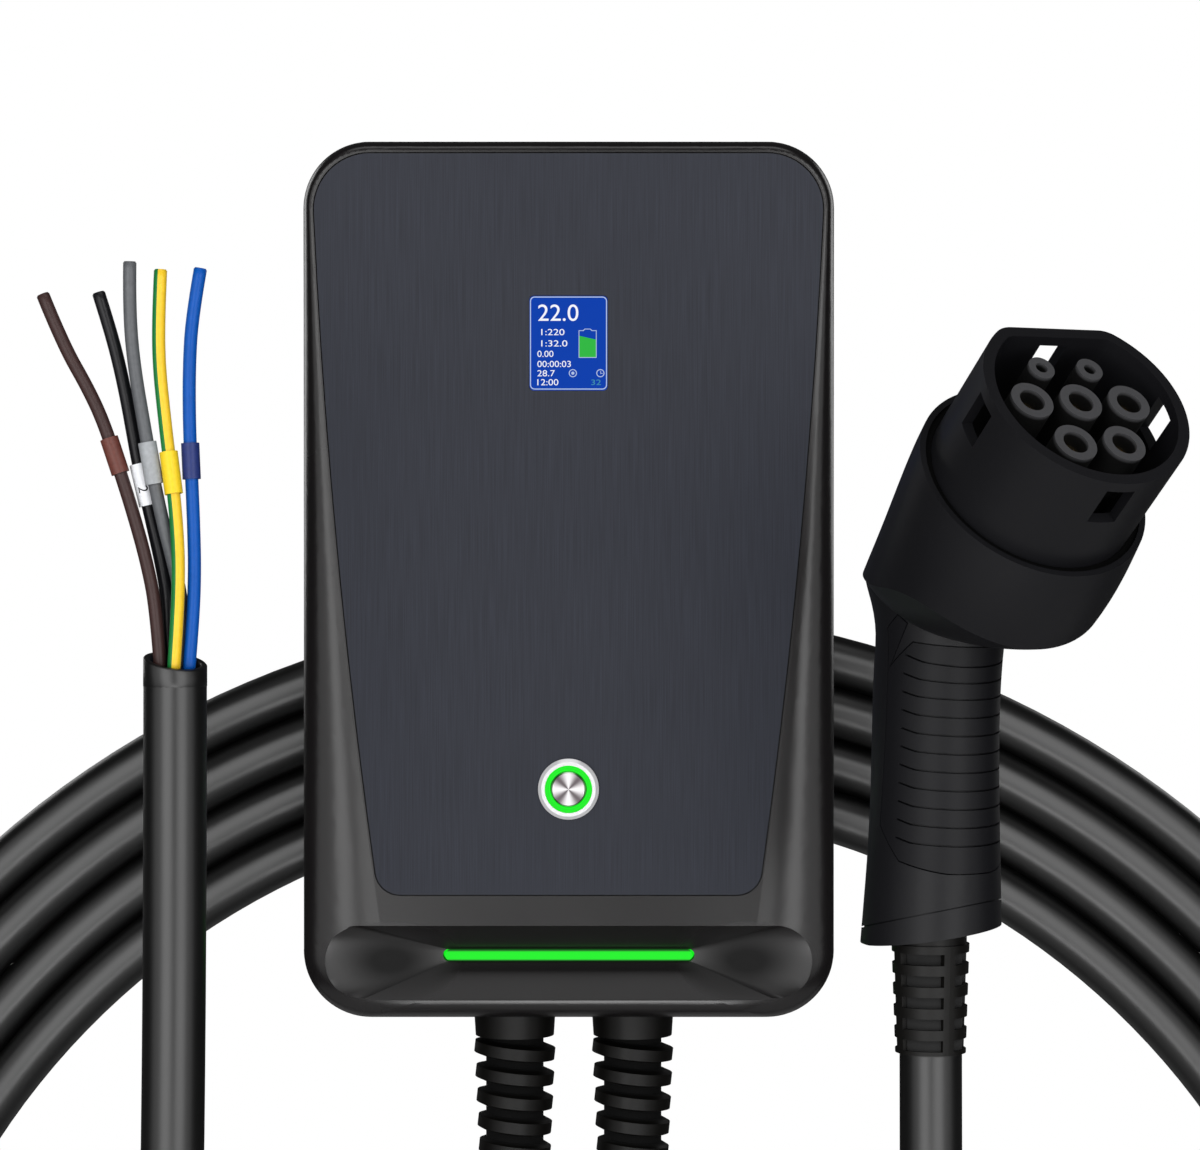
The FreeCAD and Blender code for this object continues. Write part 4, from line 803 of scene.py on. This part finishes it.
# Studio
FLOOR_RADIUS, FLOOR_SIDES = 0.95, 96
FLOOR_GAP = 0.0005
FLOOR_TONE = 0.52
ROOM_LIGHT = 0.04
WHITE = (1, 1, 1, 1)
LAMPS = [
    # name, place, what it is turned to, size, power
    ("left_light", (-0.55, -1.35, 0.05), (-0.1, 0, -0.1), (0.78, 1.9), 20),
    ("right_light", (0.57, -1.35, 0.05), (0.1, 0, -0.1), (0.78, 1.9), 19),
    ("low_light", (0.01, -1.35, -0.85), (0, 0, -0.3), (0.30, 0.6), 6),
    ("left_fill", (-1.18, -0.90, 0.1), (0, 0, -0.1), (0.8, 1.6), 4.5),
    ("right_fill", (1.18, -0.90, 0.1), (0, 0, -0.1), (0.8, 1.6), 4.5),
    ("top_light", (0, -0.6, 2.0), (0, -0.05, 0), (1.6, 1.0), 9),
    ("left_back_light", (-1.3, 1.5, 0.5), (0, 0, -0.2), (0.8, 1.2), 5),
    ("right_back_light", (1.3, 1.5, 0.5), (0, 0, -0.2), (0.8, 1.2), 4),
]
# Level with the middle of the box and a little to its right, as in the photograph
CAMERA_PLACE = (0.01087, -1.214, 0.00155)
CAMERA_LENS, CAMERA_SENSOR = 95.65, 36


def add_to_scene(name, data, place):
    made = bpy.data.objects.new(name, data)
    bpy.context.scene.collection.objects.link(made)
    made.location = place
    return made


def build_floor():
    mesh = bmesh.new()
    bmesh.ops.create_circle(mesh, cap_ends=True, segments=FLOOR_SIDES, radius=FLOOR_RADIUS)
    floor = add_to_scene("floor", mesh_data("floor", mesh), (0, 0, CAD_BOX[0].z - FLOOR_GAP))
    pale = surface("floor", (FLOOR_TONE,) * 3, 0.7, cells=40, variation=0.02, bump=0.02)
    floor.data.materials.append(pale)


def build_lamp(name, place, aim, size, power):
    light = bpy.data.lights.new(name, "AREA")
    light.shape = "RECTANGLE"
    light.size, light.size_y = size
    light.energy = power
    lamp = add_to_scene(name, light, place)
    lamp.rotation_euler = (Vector(aim) - Vector(place)).to_track_quat("-Z", "Y").to_euler()


def build_world():
    """A dim room that the camera sees as white."""
    world = bpy.data.worlds.new("studio")
    bpy.context.scene.world = world
    world.use_nodes = True
    tree = world.node_tree
    room = tree.nodes["Background"]
    room.inputs["Color"].default_value = WHITE
    room.inputs["Strength"].default_value = ROOM_LIGHT
    white = add_node(tree, "ShaderNodeBackground", "Background", {"Color": WHITE, "Strength": 1.0})
    seen = add_node(tree, "ShaderNodeLightPath", "Is Camera Ray", {})
    inputs = {"Fac": seen, 1: room.outputs["Background"], 2: white}
    both = add_node(tree, "ShaderNodeMixShader", "Shader", inputs)
    feed(tree, tree.nodes["World Output"].inputs["Surface"], both)


def build_camera():
    camera = bpy.data.cameras.new("camera")
    camera.lens = CAMERA_LENS
    camera.sensor_width = CAMERA_SENSOR
    made = add_to_scene("camera", camera, CAMERA_PLACE)
    made.rotation_euler = (math.pi / 2, 0, 0)
    bpy.context.scene.camera = made


build_floor()
for row in LAMPS:
    build_lamp(*row)
build_world()
build_camera()
bpy.context.scene.view_settings.view_transform = "Standard"
